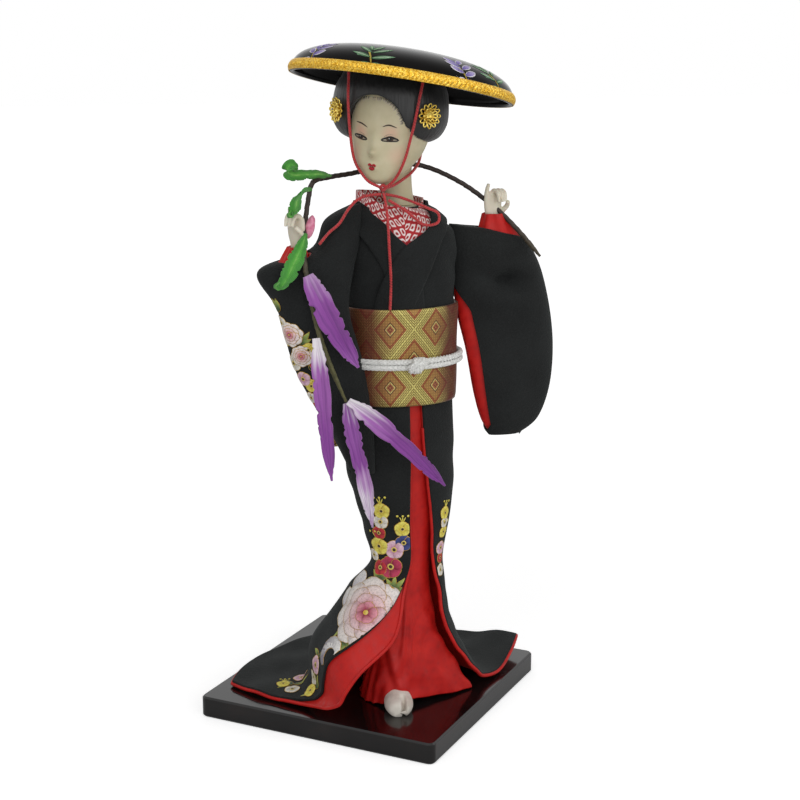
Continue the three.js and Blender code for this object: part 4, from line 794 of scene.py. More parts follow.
PLUM = {
    "yellow": ("d9c23a", "f0e46c"), "white": ("c9c2b4", "f3eee2"), "red": ("8e1420", "c8303a"),
    "pink": ("c88aa8", "ecc8d6"), "navy": ("1c2358", "3c4a8c"), "magenta": ("86173a", "c23a5c")}
LEAF_INK = ("1f3f22", "a7b85c")
SKIRT_PLUMS = [
    ("yellow", 3.8, (-13.1, -12.4, 95.1)), ("white", 3.5, (-12.8, -11.4, 89.2)),
    ("red", 3.2, (-13.2, -9.7, 83.6)), ("yellow", 3.6, (-4.2, -15.4, 86.3)),
    ("navy", 3.8, (-3.1, -14.8, 78.9)), ("pink", 4.4, (-7.1, -12.8, 76.4)),
    ("yellow", 4.3, (-12.6, -7.9, 76.4)), ("magenta", 5.2, (-7.9, -10.9, 67.8)),
    ("red", 3.5, (-11.9, -7.1, 66.1)), ("white", 2.9, (-14.5, -4.0, 71)),
    ("yellow", 3.0, (16.9, -11.6, 90.8)), ("white", 2.6, (16.8, -11, 86)),
    ("yellow", 2.9, (16.2, -10.4, 81.5)), ("pink", 3.1, (15.6, -10.3, 74.5)),
    ("red", 2.3, (15.3, -10.2, 69.5)), ("white", 2.9, (15.1, -10.2, 63)),
    ("pink", 4.4, (-39.8, -0.8, 20.5)), ("white", 3.6, (-43.5, 5, 12)), ("yellow", 3.4, (-42.5, 3.7, 6.8)),
    ("pink", 3.9, (-40.5, 24.7, 4)), ("white", 3.6, (-48, 14, 3)), ("yellow", 3.1, (-50, 22, 3))]
SKIRT_LEAVES = [
    ((-13.1, -9.2, 60), (75, 115, 155, 35)), ((-8.5, -14.2, 57.5), (35, 70, 105, 0, 140)),
    ((-28, -13.5, 34), (200, 240, 280, 320)), ((-38, -2, 25), (20, 150, 200, 250)),
    ((-43, 1, 10), (30, 70, 190, 220)), ((-46, 20, 3), (0, 150, 190, 220))]
PEONY_AT, CURL_AT = (-20.6, -14.6, 47.6), (-36.3, -4.0, 31.0)
P, Q = np.linspace(1, HEM - 0.02, 240), np.linspace(0.005, 0.995, 300)
marks = []
for kind, size, anchor in SKIRT_PLUMS:
    at = cloth_patch(on_skirt, P, Q, anchor)
    blossom(marks, at, size, 5, PLUM[kind], 0.3 + 0.002 * len(marks) ** 0.5)
    if kind == "yellow":
        for heading in (65, 90, 115):
            aside = 1.6 * size * math.cos(math.radians(heading))
            stroke(marks, at, 0, size * 0.8, heading, size * 0.9, 0.5, PLUM["yellow"], 0.3)
            stroke(marks, at, aside, 1.6 * size, 90, 1.1, 1.1, PLUM["yellow"], 0.34)
for anchor, headings in SKIRT_LEAVES:
    leafy(marks, cloth_patch(on_skirt, P, Q, anchor), 0, 0, headings, 8.0, 2.0, LEAF_INK, 0.22)
at = cloth_patch(on_skirt, P, Q, PEONY_AT)
leafy(marks, at, 0, 0, (20, 50, 80, 205, 245, 290, 330), 20, 3.4, LEAF_INK, 0.2)
for x, y, heading, long, wide, bend in ((-10, 10, 70, 12, 8, 20), (-13, 3, 110, 11, 7, -25)):
    stroke(marks, at, x, y, heading, long, wide, ("cfc8d0", "f6f3f0"), 0.26, 0.6, 1.2, bend, line=0.2)
peony(marks, at, 17.2, 0.42)
at = cloth_patch(on_skirt, P, Q, CURL_AT)
for x, y, heading, long, wide, bend in ((4, -6, 150, 20, 6.4, -230), (5, -8, 175, 15, 4.6, -190)):
    stroke(marks, at, x, y, heading, long, wide, ("8d8592", "f5f2ee"), 0.3, 0.6, 0.75, bend, line=0.25)
skirt_print = printed("skirt_print", marks)

# Stencilled pigment: matt, dense colour broken a little by the crepe's grain; the outlines are gold powder.
pigment, tree, shader, spot = surface("stencilled pigment", {"Roughness": 0.68})
tint = add(tree, "Attribute", attribute_name="paint")
grain = add(tree, "TexNoise", {"Vector": spot, "Scale": 1 / 0.0008, "Detail": 3.0})
wear = add(tree, "ValToRGB", {"Fac": grain}, stops=[(0.3, (0.72, 0.72, 0.72, 1)), (0.6, (1, 1, 1, 1))])
broken = add(
    tree, "Mix", {"Factor": 1.0, 6: tint.outputs["Color"], 7: wear}, data_type="RGBA",
    blend_type="MULTIPLY")
powder = add(tree, "MapRange", {"Value": tint.outputs["Alpha"], "To Min": 0.8, "To Max": 0.0})
feed(shader, {"Base Color": broken.outputs[2], "Metallic": powder})
fit(skirt_print, pigment, "figure", "black_crepe")


# Bodice: the kimono's upper part, black crepe drawn close round the stuffed body and tucked under the sash.
# Shallow creases run from the armpits towards the middle.
BODICE_OUT = 1.5
height = np.linspace(164.8, 229, 110)[:, None]
angle = circuit(160)


def bodice_at(angle, height, out):
    """The chest's surface at an angle and a height, a distance out from the body block, with its creases."""
    base = oval(body_at(height), angle, height)
    crease = 0.35 * ripple(base * (1, 1, 0.6), 13, 31)
    crease = crease * smooth(184, 190, height) * (1 - smooth(214, 222, height))
    tuck = 0.5 * np.sin(height / 2.3 + 5 * np.abs(np.sin(angle))) * bell(np.abs(np.sin(angle)), 0.85, 0.2)
    tuck = tuck * bell(height, 202, 9)
    return oval(body_at(height), angle, height, out + crease + tuck)


bodice = thicken(loft("bodice_crepe", bodice_at(angle, height, BODICE_OUT), capped=False), CREPE_THICK)
fit(bodice, crepe, "figure", "black_crepe", "kimono_bodice")
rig.sheet(bodice, flat=(0.14, 0.068), held="stretched", rests_on=["torso_core"])


# Under-collar: a folded band of tie-dyed red silk that stands loose round the neck and closes to a point
# in front. The tied knots left rows of small white squares, each with a red eye.
NECK_POINT, NECK_POINT_ANGLE = 213.5, -8
NECK_BACK, NECK_SPREAD = 229.5, 62


def neckline(angle):
    away = np.abs((np.degrees(angle) - NECK_POINT_ANGLE + 180) % 360 - 180)
    return NECK_BACK - (NECK_BACK - NECK_POINT) * np.maximum(0, 1 - away / NECK_SPREAD)


def collar_at(angle, height, out):
    """A point of a collar: it follows the bodice over the chest and stands off at the neck's right."""
    loose = 9.5 * smooth(220, 229, height) * np.maximum(0, -np.sin(angle))
    base = oval(body_at(height), angle, height, out)
    base[..., 0] -= loose
    return base


COLLAR_THICK = 0.7
angle = np.linspace(0, 2 * np.pi, 241)[None, :] + math.radians(NECK_POINT_ANGLE)
rise = np.linspace(0, 1, 40)[:, None]
top = 234 - 5 * smooth(0.2, 1, np.cos(angle)) - 2 * np.sin(angle)
low = neckline(angle) - 3.2
height = low + (top - low) * rise
upright = collar_at(angle, height, 2.8 + 0.25 * ripple(oval(body_at(height), angle, height), 8, 41))
girth = np.degrees(angle - math.radians(NECK_POINT_ANGLE) - np.pi) * 0.34
climb = np.cumsum(np.r_[[0 * top[0]], np.diff(height, axis=0)], axis=0)
cut = np.stack([girth + 0 * height, climb], -1) * 0.001
under_collar = thicken(loft("under_collar_silk", upright[:, :-1], capped=False, cut=cut), COLLAR_THICK)

# Tie-dyed silk: crimson with a net of white rings about 3 mm apart, each squarish with a dark red eye.
DOT_PITCH = 0.003
shibori, tree, shader, _ = surface("tie dyed red silk", {"Roughness": 0.75, "Sheen Weight": 0.2})
spread = add(tree, "UVMap", uv_map="cut")
net = add(
    tree, "Mapping",
    {"Vector": spread, "Rotation": (0, 0, math.radians(45)), "Scale": (1 / DOT_PITCH, 1 / DOT_PITCH, 1)})
wobble = add(tree, "TexNoise", {"Vector": net, "Scale": 1.3})
bent = add(tree, "VectorMath", [wobble.outputs["Color"], (0.5, 0.5, 0), net], operation="MULTIPLY_ADD")
cell = add(tree, "VectorMath", [bent], operation="FRACTION")
middle = add(tree, "VectorMath", [cell, (0.5, 0.5, 0)], operation="SUBTRACT")
off = add(tree, "VectorMath", [middle], operation="ABSOLUTE")
sides = add(tree, "SeparateXYZ", {"Vector": off}).outputs
square = add(tree, "Math", [sides["X"], sides["Y"], 0.22], operation="SMOOTH_MAX")
dye = add(
    tree, "ValToRGB", {"Fac": square},
    stops=[(0.15, "a3141f"), (0.21, "efdedb"), (0.33, "f3e6e3"), (0.38, "b81a26"), (0.5, "a8121c")])
pucker = add(tree, "Bump", {"Height": square, "Strength": 0.5, "Distance": 0.0006}, invert=True)
feed(shader, {"Base Color": dye, "Normal": pucker})
fit(under_collar, shibori, "figure", "dotted_red", "under_collar")
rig.sheet(under_collar, flat=(0.095, 0.012), held="folded", rests_on=["kimono_bodice"])


# Kimono collar: two crepe bands, each folded double, sewn along the neck edge of the bodice.
# The left band crosses over the right one at the breast, and both run down under the sash.
def band(name, edges, lift):
    """A strip over the chest between two edges, each a list of degrees round the body and heights."""
    inner, outer = (between(edge, np.linspace(0, len(edge) - 1, 150))[:, None, :] for edge in edges)
    share = np.linspace(0, 1, 22)[None, :, None]
    spot = inner + (outer - inner) * share
    angle, height = np.radians(spot[..., 0]), spot[..., 1]
    fold = 0.5 * np.sin(np.pi * share[..., 0]) ** 0.5
    proud = 1.35 * smooth(205, 214, height)
    tuck = smooth(184.5, 192, height)
    return loft(name, collar_at(angle, height, 1.7 + (lift + fold) * tuck + proud), False, False)


LEFT_BAND = (
    [(176, 230.5), (130, 230.5), (92, 230.2), (54, 229.8), (22, 221.6), (-8, 213.6), (-21, 206.6),
     (-34, 195), (-42, 184)],
    [(176, 225.5), (130, 225), (92, 224.6), (64, 222.6), (42, 220), (26, 214.6), (17.5, 205.3), (7, 195),
     (-3, 184)])
RIGHT_BAND = (
    [(-180, 230.5), (-140, 230.6), (-108, 231), (-72, 231.2), (-44, 226), (-8, 213.6), (2, 206), (8, 195),
     (12, 184)],
    [(-180, 225.5), (-140, 225), (-108, 224.6), (-84, 222.6), (-62, 219.4), (-44, 214), (-32, 205),
     (-24, 195), (-18, 184)])
right_band = band("collar_band_right", RIGHT_BAND, 0.2)
right_band.data.flip_normals()
left_band = band("collar_band_left", LEFT_BAND, 0.95)
for strip in (right_band, left_band):
    thicken(strip, 0.8)
fit(right_band, crepe, "figure", "black_crepe")
fit(left_band, crepe, "figure", "black_crepe", "kimono_collar")
for strip in (right_band, left_band):
    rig.sheet(strip, flat=(0.012, 0.085), held="folded", rests_on=["kimono_bodice"])


# Sash: a stiff brocade band wound tight round the waist, one broad turn with its ends behind under the bow.
# Gold warp with crossing striped ribbons and nested diamonds; towards the sides in front it is darkened to rust red as
# painted shade and reflection.
OBI_FOOT, OBI_MIDDLE, OBI_TOP = 143, 164.5, 186
OBI_OUT = 3.4
OBI_THICK = 1.6
angle = np.linspace(-np.pi, np.pi, 301)[None, :]
height = np.linspace(OBI_FOOT, OBI_TOP, 60)[:, None]
waist = body_at(np.maximum(height, BODY[0][0]))
slack = 0.3 * ripple(oval(waist, angle, height), 21, 51)
rim = -0.35 * (bell(height, OBI_FOOT, 1.2) + bell(height, OBI_TOP, 1.2))
sash = oval(waist, angle, height, OBI_OUT + slack + rim)
steps = np.linalg.norm(np.diff(sash[30], axis=0), axis=1)
girth = np.r_[0, np.cumsum(steps)]
girth -= girth[-1] / 2
cut = np.stack(np.broadcast_arrays(girth[None, :], height - OBI_MIDDLE), -1) * 0.001
obi = thicken(loft("obi_brocade", sash[:, :-1], capped=False, cut=cut), OBI_THICK)

# Gold brocade: flat metal-wrapped weft over red silk. The ribbons lie on a diamond net 21 mm by 26 mm,
# and every second diamond holds three nested outlines with a small blossom in the middle.
NET_WIDE, NET_HIGH = 0.0106, 0.0128
THREAD = 0.0006
brocade, tree, shader, spot = surface("gold brocade", {"Roughness": 0.45, "Sheen Weight": 0.1})
spread = add(tree, "UVMap", uv_map="cut")
parts = add(tree, "SeparateXYZ", {"Vector": spread}).outputs
wide = add(tree, "Math", [parts["X"], NET_WIDE], operation="DIVIDE")
high = add(tree, "Math", [parts["Y"], NET_HIGH], operation="DIVIDE")
rising = add(tree, "Math", [wide, high], operation="ADD")
falling = add(tree, "Math", [wide, high], operation="SUBTRACT")
one = add(tree, "Math", [rising, 1.0], operation="PINGPONG")
two = add(tree, "Math", [falling, 1.0], operation="PINGPONG")
nest = add(tree, "Math", [one, two], operation="MAXIMUM")
GOLD, PALE, BROWN, RUST, BRICK, OLIVE = "a97d3e", "d2c673", "5a2014", "b0683c", "8e2f1e", "7d6428"
STRIPES = [
    (0.0, RUST), (0.06, BROWN), (0.1, RUST), (0.17, PALE), (0.22, BROWN), (0.27, GOLD), (0.56, BRICK),
    (0.61, GOLD), (0.64, BRICK), (0.68, PALE), (0.73, OLIVE), (0.77, PALE), (0.82, OLIVE), (0.86, PALE),
    (0.91, OLIVE), (0.95, PALE)]
diamond = add(tree, "ValToRGB", {"Fac": nest}, stops=STRIPES)
diamond.color_ramp.interpolation = "CONSTANT"
# Painted shade and reflection: on the front only, the gold darkens to rust red towards the sides, standing in for the
# dark sleeves mirrored in it and its turn away from the light.
turns = add(tree, "Math", [parts["X"]], operation="ABSOLUTE")
wander = add(tree, "TexNoise", {"Vector": spread, "Scale": 1 / 0.012, "Detail": 3.0})
lean = add(tree, "Math", [wander, 0.008, turns], operation="MULTIPLY_ADD")
side = add(tree, "MapRange", {"Value": lean, "From Min": 0.0135, "From Max": 0.0225, "To Max": 0.88})
depth = add(tree, "SeparateXYZ", {"Vector": spot}).outputs
front = add(
    tree, "MapRange",
    {"Value": depth["Y"], "From Min": -0.028, "From Max": -0.016, "To Min": 1.0, "To Max": 0.0})
painted_side_shade = add(tree, "Math", [side, front], operation="MULTIPLY")
side_shaded = add(tree, "Mix", {"Factor": painted_side_shade, 6: diamond, 7: "642214"}, data_type="RGBA")
weave = {"Vector": spread, "Scale": 0.5 / THREAD / 3.14159, "Distortion": 0.6}
weft, warp = (add(tree, "TexWave", weave, bands_direction=way) for way in "YX")
threads = add(tree, "Math", [weft.outputs["Fac"], warp.outputs["Fac"]], operation="MULTIPLY")
dark = add(tree, "MapRange", {"Value": threads, "To Min": 0.72, "To Max": 1.12})
woven = add(tree, "VectorMath", {0: side_shaded.outputs[2], "Scale": dark}, operation="SCALE")
metal = add(
    tree, "MapRange", {"Value": nest, "From Min": 0.1, "From Max": 0.9, "To Min": 0.2, "To Max": 0.45})
raised = add(tree, "Math", [threads, 0.4, nest], operation="MULTIPLY_ADD")
relief = add(tree, "Bump", {"Height": raised, "Strength": 0.4, "Distance": 0.0005})
feed(shader, {"Base Color": woven, "Metallic": metal, "Normal": relief})
fit(obi, brocade, "figure", "gold_brocade", "obi_band")
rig.sheet(obi, flat=(0.145, 0.043), held="stretched", rests_on=["kimono_bodice", "kimono_skirt"])


# Sash cord: a white round braid laid twice round the sash and tied in a flat knot in front.
# Geometry Nodes set the plait's strands along the cord as overlapping slanted grains.
CORD_OUT, CORD_HIGH = 4.85, 162
BRAID_SIZES = {
    "Grain Spacing": 0.00024, "Grain Length": 0.00105, "Grain Width": 0.0004, "Cord Radius": 0.00095}


def plan(name, inputs):
    """A new Geometry Nodes tree with named inputs of given kinds, and the sockets that bring them in."""
    tree = bpy.data.node_groups.new(name, "GeometryNodeTree")
    for key, kind in {"Geometry": "Geometry", **inputs}.items():
        tree.interface.new_socket(key, in_out="INPUT", socket_type="NodeSocket" + kind)
    tree.interface.new_socket("Geometry", in_out="OUTPUT", socket_type="NodeSocketGeometry")
    return tree, add(tree, "NodeGroupInput").outputs


cord_tree, into = plan("plaited cord", {**dict.fromkeys(BRAID_SIZES, "Float"), "Yarn": "Material"})
path = add(
    cord_tree, "GeometryNodeResampleCurve",
    {"Curve": into["Geometry"], "Length": into["Grain Spacing"]}, mode="LENGTH")
dots = add(cord_tree, "GeometryNodeCurveToPoints", {"Curve": path}, mode="EVALUATED")
number = add(cord_tree, "GeometryNodeInputIndex")
turn = add(cord_tree, "Math", [number, math.radians(135)], operation="MULTIPLY")
screw = add(cord_tree, "CombineXYZ", {"Z": turn})
as_turn = add(cord_tree, "FunctionNodeEulerToRotation", [screw])
spin = add(
    cord_tree, "FunctionNodeRotateRotation", {"Rotation": dots.outputs["Rotation"], "Rotate By": as_turn},
    rotation_space="LOCAL")
grain = add(cord_tree, "GeometryNodeMeshIcoSphere", {"Radius": 1.0, "Subdivisions": 1})
slim = add(
    cord_tree, "CombineXYZ",
    {"X": into["Grain Width"], "Y": into["Grain Width"], "Z": into["Grain Length"]})
aside = add(cord_tree, "CombineXYZ", {"X": into["Cord Radius"]})
shaped = add(
    cord_tree, "GeometryNodeTransform",
    {"Geometry": grain, "Scale": slim, "Translation": aside, "Rotation": (math.radians(26), 0, 0)})
laid = add(
    cord_tree, "GeometryNodeInstanceOnPoints", {"Points": dots, "Instance": shaped, "Rotation": spin})
disc = add(cord_tree, "GeometryNodeCurvePrimitiveCircle", {"Resolution": 12, "Radius": into["Cord Radius"]})
core = add(cord_tree, "GeometryNodeCurveToMesh", {"Curve": path, "Profile Curve": disc, "Fill Caps": True})
whole = add(cord_tree, "GeometryNodeJoinGeometry", {"Geometry": laid})
feed(whole, {"Geometry": core})
made = add(cord_tree, "GeometryNodeRealizeInstances", {"Geometry": whole})
yarn = add(cord_tree, "GeometryNodeSetMaterial", {"Geometry": made, "Material": into["Yarn"]})
add(cord_tree, "NodeGroupOutput", {"Geometry": yarn})


def grown(name, source, tree, values):
    """Runs a Geometry Nodes tree on a source object and keeps the result as a plain mesh piece."""
    tool = source.modifiers.new("grown", "NODES")
    tool.node_group = tree
    for item in tree.interface.items_tree:
        if item.item_type == "SOCKET" and item.in_out == "INPUT" and item.name in values:
            tool[item.identifier] = values[item.name]
    graph = bpy.context.evaluated_depsgraph_get()
    graph.update()
    plain = bpy.data.meshes.new_from_object(source.evaluated_get(graph), depsgraph=graph)
    plain.name = name
    plain.polygons.foreach_set("use_smooth", np.ones(len(plain.polygons), bool))
    bpy.data.objects.remove(source)
    return stand(name, plain)


def thread(name, runs, closed=False):
    """A curve object through runs of points in figure millimetres, as the source of a tree."""
    curve = bpy.data.curves.new(name, "CURVE")
    curve.dimensions = "3D"
    for run in runs:
        line = curve.splines.new("POLY")
        line.points.add(len(run) - 1)
        spots = (np.asarray(run) + FIGURE) * 0.001
        line.points.foreach_set("co", np.c_[spots, np.ones(len(spots))].ravel())
        line.use_cyclic_u = closed
    return stand(name, curve)


# Rayon braid: clean white yarn in tight slanting strands, silky with grey in the grooves.
snow = [(0.3, "cfcfca"), (0.6, "efefec")]
braid = mottled("white rayon braid", {"Roughness": 0.55, "Sheen Weight": 0.4}, 0.0009, 3.0, snow)[0]
angle = circuit(199)[0]
rounds = [oval(np.array(BODY[0][1:]), angle, CORD_HIGH + up, CORD_OUT) for up in (-1.2, 1.2)]
obi_cord = grown(
    "obi_cord_braid", thread("obi_cord_path", rounds, True), cord_tree, {**BRAID_SIZES, "Yarn": braid})
fit(obi_cord, braid, "figure", "white_braid", "obi_cord")
tie = circuit(59)[0]
loops = []
for x, lag in ((-1.7, 1.3), (0.0, 1.7), (1.7, 1.5)):
    high = CORD_HIGH + 2.5 * np.sin(tie + lag)
    loops.append(np.stack([0.9 * np.cos(tie) + x, -23.2 - 1.5 * np.sin(tie), high], -1))
high = CORD_HIGH + 1.3 * np.sin(tie + 0.6)
cross = [np.stack([3.2 * np.cos(tie), -23.9 - 0.9 * np.sin(tie), high], -1)]
knot = grown(
    "obi_cord_tie", thread("obi_knot_path", loops + cross, True), cord_tree, {**BRAID_SIZES, "Yarn": braid})
fit(knot, braid, "figure", "white_braid", "obi_cord_knot")


# Bow: the sash's end folded into a flat drum pillow over wadding on the back, with a tail hanging from
# under it. It is of the same brocade, sewn shut along its sides.
def pillow(wide, high, deep, crown, centre):
    """Rows of a flat stuffed pillow that is fuller in the middle, from its foot to its top."""
    up = np.linspace(-1, 1, 46)[:, None]
    angle = circuit(128)
    c, s = np.cos(angle), np.sin(angle)
    swell = (1 - 0.55 * np.abs(up) ** 4) * (1 - crown * c ** 4)
    x = np.sign(c) * np.abs(c) ** 0.35 * wide / 2 * (1 - 0.03 * (1 - up ** 2))
    rows = np.stack(
        [x + 0 * up, np.sign(s) * np.abs(s) ** 0.6 * swell * deep / 2, up * high / 2 + 0 * x], -1)
    return rows + np.array(centre)


for name, node, size, crown, centre in (
        ("obi_bow", "obi_drum", (66, 46, 17.6), 0.35, (0, 28.1, 164)),
        ("obi_bow_tail", "obi_tail", (47.5, 26, 2.4), 0.2, (0, 29.4, 127.7))):
    rows = pillow(*size, crown, centre)
    rows[..., 1] += 0.35 * ripple(rows, 16, 61) * (size[2] > 5)
    flat = np.concatenate([rows, rows[:, :1]], 1)[..., [0, 2]] - np.array([0, OBI_MIDDLE])
    bow = loft(name, rows, cut=flat * 0.001)
    fit(bow, brocade, "figure", "gold_brocade", node)
    if node == "obi_drum":
        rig.padded(bow, fill=0.8)
    else:
        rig.sheet(bow, flat=(0.0475, 0.0275), held="hung", rests_on=["obi_drum"])


# Sleeves: long hanging bags of black crepe, each lined in red and open along its inner edge.
# The front panel stops short of that edge, so a strip of the lining shows, and the lining rises as a cuff.
SLEEVES = {
    "right": [
        (-19, 231, -23, 230, -3, 4), (-19, 226, -35, 224, -4, 7), (-21, 214, -42, 212, -6, 9),
        (-24, 203, -66, 204, -8, 9.5), (-26.5, 186, -58, 187, -9, 9), (-21, 165, -51.5, 163, -9, 8.5),
        (-17.5, 147, -44, 147, -10, 8), (-16, 128, -34.5, 130, -11, 6.5), (-16, 113, -27, 114, -12, 4.5)],
    "left": [
        (23, 220, 30, 219, -1, 4), (22, 215.5, 54, 215.5, -2, 8), (23.2, 203, 63.5, 204, -3, 9.5),
        (23.8, 184, 69.5, 186, -3, 9.5), (29, 163, 72.6, 165, -3, 9), (33, 143, 71.5, 145, -3, 8.5),
        (37, 130, 66, 130, -3, 7), (42, 123, 57, 123, -3, 3.5)]}
HOLLOWS = {"right": [], "left": [(46.5, 195, 8, 8), (48, 187, 9, -1.8), (34, 198, 7, 1.6)]}


def sleeve_at(side, place, share, inset, front_gap, back_gap):
    """A point of a sleeve: place runs down its stations, share from the opening's front edge to its back."""
    last = len(SLEEVES[side]) - 1
    x_in, z_in, x_out, z_out, y, deep = np.moveaxis(between(SLEEVES[side], np.clip(place, 0, last)), -1, 0)
    opened = smooth(2.2, 3.2, place) * (1 - smooth(last - 0.9, last - 0.1, place))
    start = math.radians(front_gap) * opened + 0.005
    stop = math.radians(back_gap) * opened + 0.005
    angle = start + share * (2 * np.pi - start - stop)
    inner = 1.0 if side == "right" else -1.0
    c = inner * np.cos(angle)
    s = -np.sin(angle)
    flat = smooth(-0.35, 0.1, place) * (1 - smooth(last - 0.1, last + 0.35, place))
    half = np.abs(x_out - x_in) / 2 - inset
    x = (x_in + x_out) / 2 + half * np.sign(c) * np.abs(c) ** 0.8
    z = (z_in + z_out) / 2 + (z_out - z_in) / 2 * np.sign(x_out - x_in) * c
    z = z - inset * (smooth(0.6, 0, place) - smooth(last - 0.6, last, place))
    thick = (deep - inset) * flat
    base = np.stack([x, y + thick * s, z], -1)
    slack = 0.75 * ripple(base * (1, 1, 0.6), 19, 71) * flat
    for at_x, at_z, wide, sunk in HOLLOWS[side]:
        slack = slack - sunk * bell(np.hypot(x - at_x, (z - at_z) * 2), 0, wide) * smooth(0.2, 0.8, -s)
    base[..., 1] += slack * s * smooth(0.1, 0.6, np.abs(s))
    return base


def bag(name, side, inset, front_gap, back_gap, thick):
    """One layer of a sleeve as a sheet with its thickness inwards."""
    last = len(SLEEVES[side]) - 1
    place = np.linspace(last + 0.24, -0.24, 110)[:, None]
    share = np.linspace(0, 1, 130)[None, :]
    share = share if side == "left" else share[:, ::-1]
    points = sleeve_at(side, place, share, inset, front_gap, back_gap)
    return thicken(loft(name, points, False, False), thick)


def combine(piece, tool, operation):
    """Joins a closed tool to a piece or cuts it out, and uses the tool up."""
    change = piece.modifiers.new("change", "BOOLEAN")
    change.operation, change.solver, change.object = operation, "EXACT", tool
    settle(piece)
    bpy.data.objects.remove(tool)


def carve(piece, rows):
    """Cuts a closed loft of rows out of a piece."""
    combine(piece, loft("cutter", rows), "DIFFERENCE")
    cut = bmesh.new()
    cut.from_mesh(piece.data)
    bmesh.ops.remove_doubles(cut, verts=cut.verts, dist=0.00001)
    bmesh.ops.dissolve_degenerate(cut, edges=cut.edges, dist=0.00001)
    bmesh.ops.holes_fill(cut, edges=[edge for edge in cut.edges if edge.is_boundary], sides=0)
    bmesh.ops.triangulate(cut, faces=[face for face in cut.faces if len(face.verts) > 4])
    cut.to_mesh(piece.data)
    cut.free()
    return piece


CUFFS = {
    "right": ((-50, -8, 206), (7, 6), (-49, -8, 211), (3, 3.8)),
    "left": ((46.5, -3, 213.5), (11.2, 5.6), (42.5, -3, 219), (5.2, 4.6))}
OPENINGS = {"right": (14, 14, 9, 10), "left": (46, 44, 8, 4)}
angle = circuit(64)
for side in ("right", "left"):
    front_gap, back_gap, silk_front, silk_back = OPENINGS[side]
    cuff, reach, wrist, throat = (np.array(v, float) for v in CUFFS[side])
    ends = (cuff[2] - 9, wrist[2] + 30)
    mouth = np.array([oval(reach + 0.3, angle[0], z) + (cuff[0], cuff[1], 0) for z in ends])
    sleeve = carve(bag(f"{side}_sleeve_crepe", side, 0, front_gap, back_gap, CREPE_THICK), mouth)
    fit(sleeve, crepe, "figure", "black_crepe", f"{side}_sleeve")
    mouth = np.array([oval(reach - 0.7, angle[0], z) + (cuff[0], cuff[1], 0) for z in ends])
    lining = carve(bag(f"{side}_sleeve_silk", side, 1.5, silk_front, silk_back, LINING_THICK), mouth)
    fit(lining, red_silk, "figure", "red_silk", f"{side}_sleeve_lining")
    up = np.linspace(0, 2, 24)[:, None]
    top = (*(wrist + (0, 0, throat[0])), throat[1], throat[1])
    rings = between([(*(cuff - (0, 0, 7)), *reach), (*cuff, *reach), top], up)
    pleat = 0.35 * np.sin(7 * angle + 1.3) * smooth(0.6, 1.4, up)
    funnel = oval(rings[..., 3:], angle, 0, pleat) + rings[..., :3]
    sleeve_cuff = thicken(loft(f"{side}_cuff", funnel, capped=False), LINING_THICK)
    fit(sleeve_cuff, red_silk, "figure", "red_silk")
    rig.sheet(sleeve, flat=(0.16, 0.12), area=0.0105, held="hung", rests_on=["kimono_bodice"])
    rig.sheet(lining, flat=(0.15, 0.12), area=0.0095, held="hung", rests_on=[f"{side}_sleeve"])
    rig.sheet(sleeve_cuff, flat=(0.05, 0.016), held="gathered", rests_on=[f"{side}_arm_wire"])


# Hands: slim moulded hands closed round the branch, the first finger up, painted the white of the face.
# Each is pushed on the end of its arm.
PALM = [(0, 2.3, 2.0), (3, 2.5, 1.8), (6, 3.6, 1.8), (9.5, 4.1, 1.7), (12.5, 3.7, 1.4)]
KNUCKLE = 11.5
FINGERS = [(-2.9, 5.2, 0.12), (-1.0, 6.2, 1), (0.9, 6.0, 1), (2.6, 5.0, 1)]
THUMB = [(2.8, -0.4, 5), (4.6, -2.4, 7.6), (3.6, -4.2, 9.6)]


def merged(name, parts, grain):
    """One smooth closed body from overlapping ones."""
    whole = bmesh.new()
    for part in parts:
        whole.from_mesh(part.data)
        bpy.data.objects.remove(part)
    mesh = bpy.data.meshes.new(name)
    whole.to_mesh(mesh)
    whole.free()
    made = stand(name, mesh)
    remade = made.modifiers.new("one body", "REMESH")
    remade.mode = "VOXEL"
    remade.voxel_size = grain * 0.001
    remade.use_smooth_shade = True
    rounded = made.modifiers.new("rounded", "SMOOTH")
    rounded.factor = 0.5
    rounded.iterations = 4
    return settle(made)


# Gofun, a shell-white paint over a moulded core: matte ivory with the faintest sheen and warm unevenness.
shell = {"Roughness": 0.5, "Subsurface Weight": 0.08, "Subsurface Scale": 0.002}
gofun = mottled("gofun shell white", shell, 0.007, 5.0, [(0.3, "d8cfba"), (0.7, "e6dfcd")])[0]
for side, turn, size in (("right", -60, 1.2), ("left", 20, 1.22)):
    rings = between(PALM, np.linspace(0, 4, 30))
    around = circuit(24)
    bodies = [oval(rings[:, None, 1:], around, rings[:, None, 0])]
    for x, long, curl in FINGERS:
        rise = long * (1 - curl * np.array([0, 0.55, 0.72, 1.05]))
        bend = [
            (x, 0.2, KNUCKLE), (x, -1.6 * curl, KNUCKLE + 0.4 * rise[1] + 0.9),
            (0.95 * x, -3.6 * curl, KNUCKLE + 0.75 * rise[2]),
            (0.9 * x, -4.4 * curl, KNUCKLE + 1.05 * rise[3] - 1.6 * curl)]
        bodies.append(along_path(run_of(bend, 24), np.linspace(1.0, 0.62, 24)[:, None], 12))
    bodies.append(along_path(run_of(THUMB, 20), np.linspace(1.15, 0.75, 20)[:, None], 12))
    wrist = np.array(CUFFS[side][2]) + (0, 0, 0.3 if side == "right" else -1.2)
    parts = [loft(f"{side}_{i}", turned(rows * size, turn) + wrist) for i, rows in enumerate(bodies)]
    hand = merged(f"{side}_hand_gofun", parts, 0.28)
    fit(hand, gofun, "figure", "ivory", f"{side}_hand")


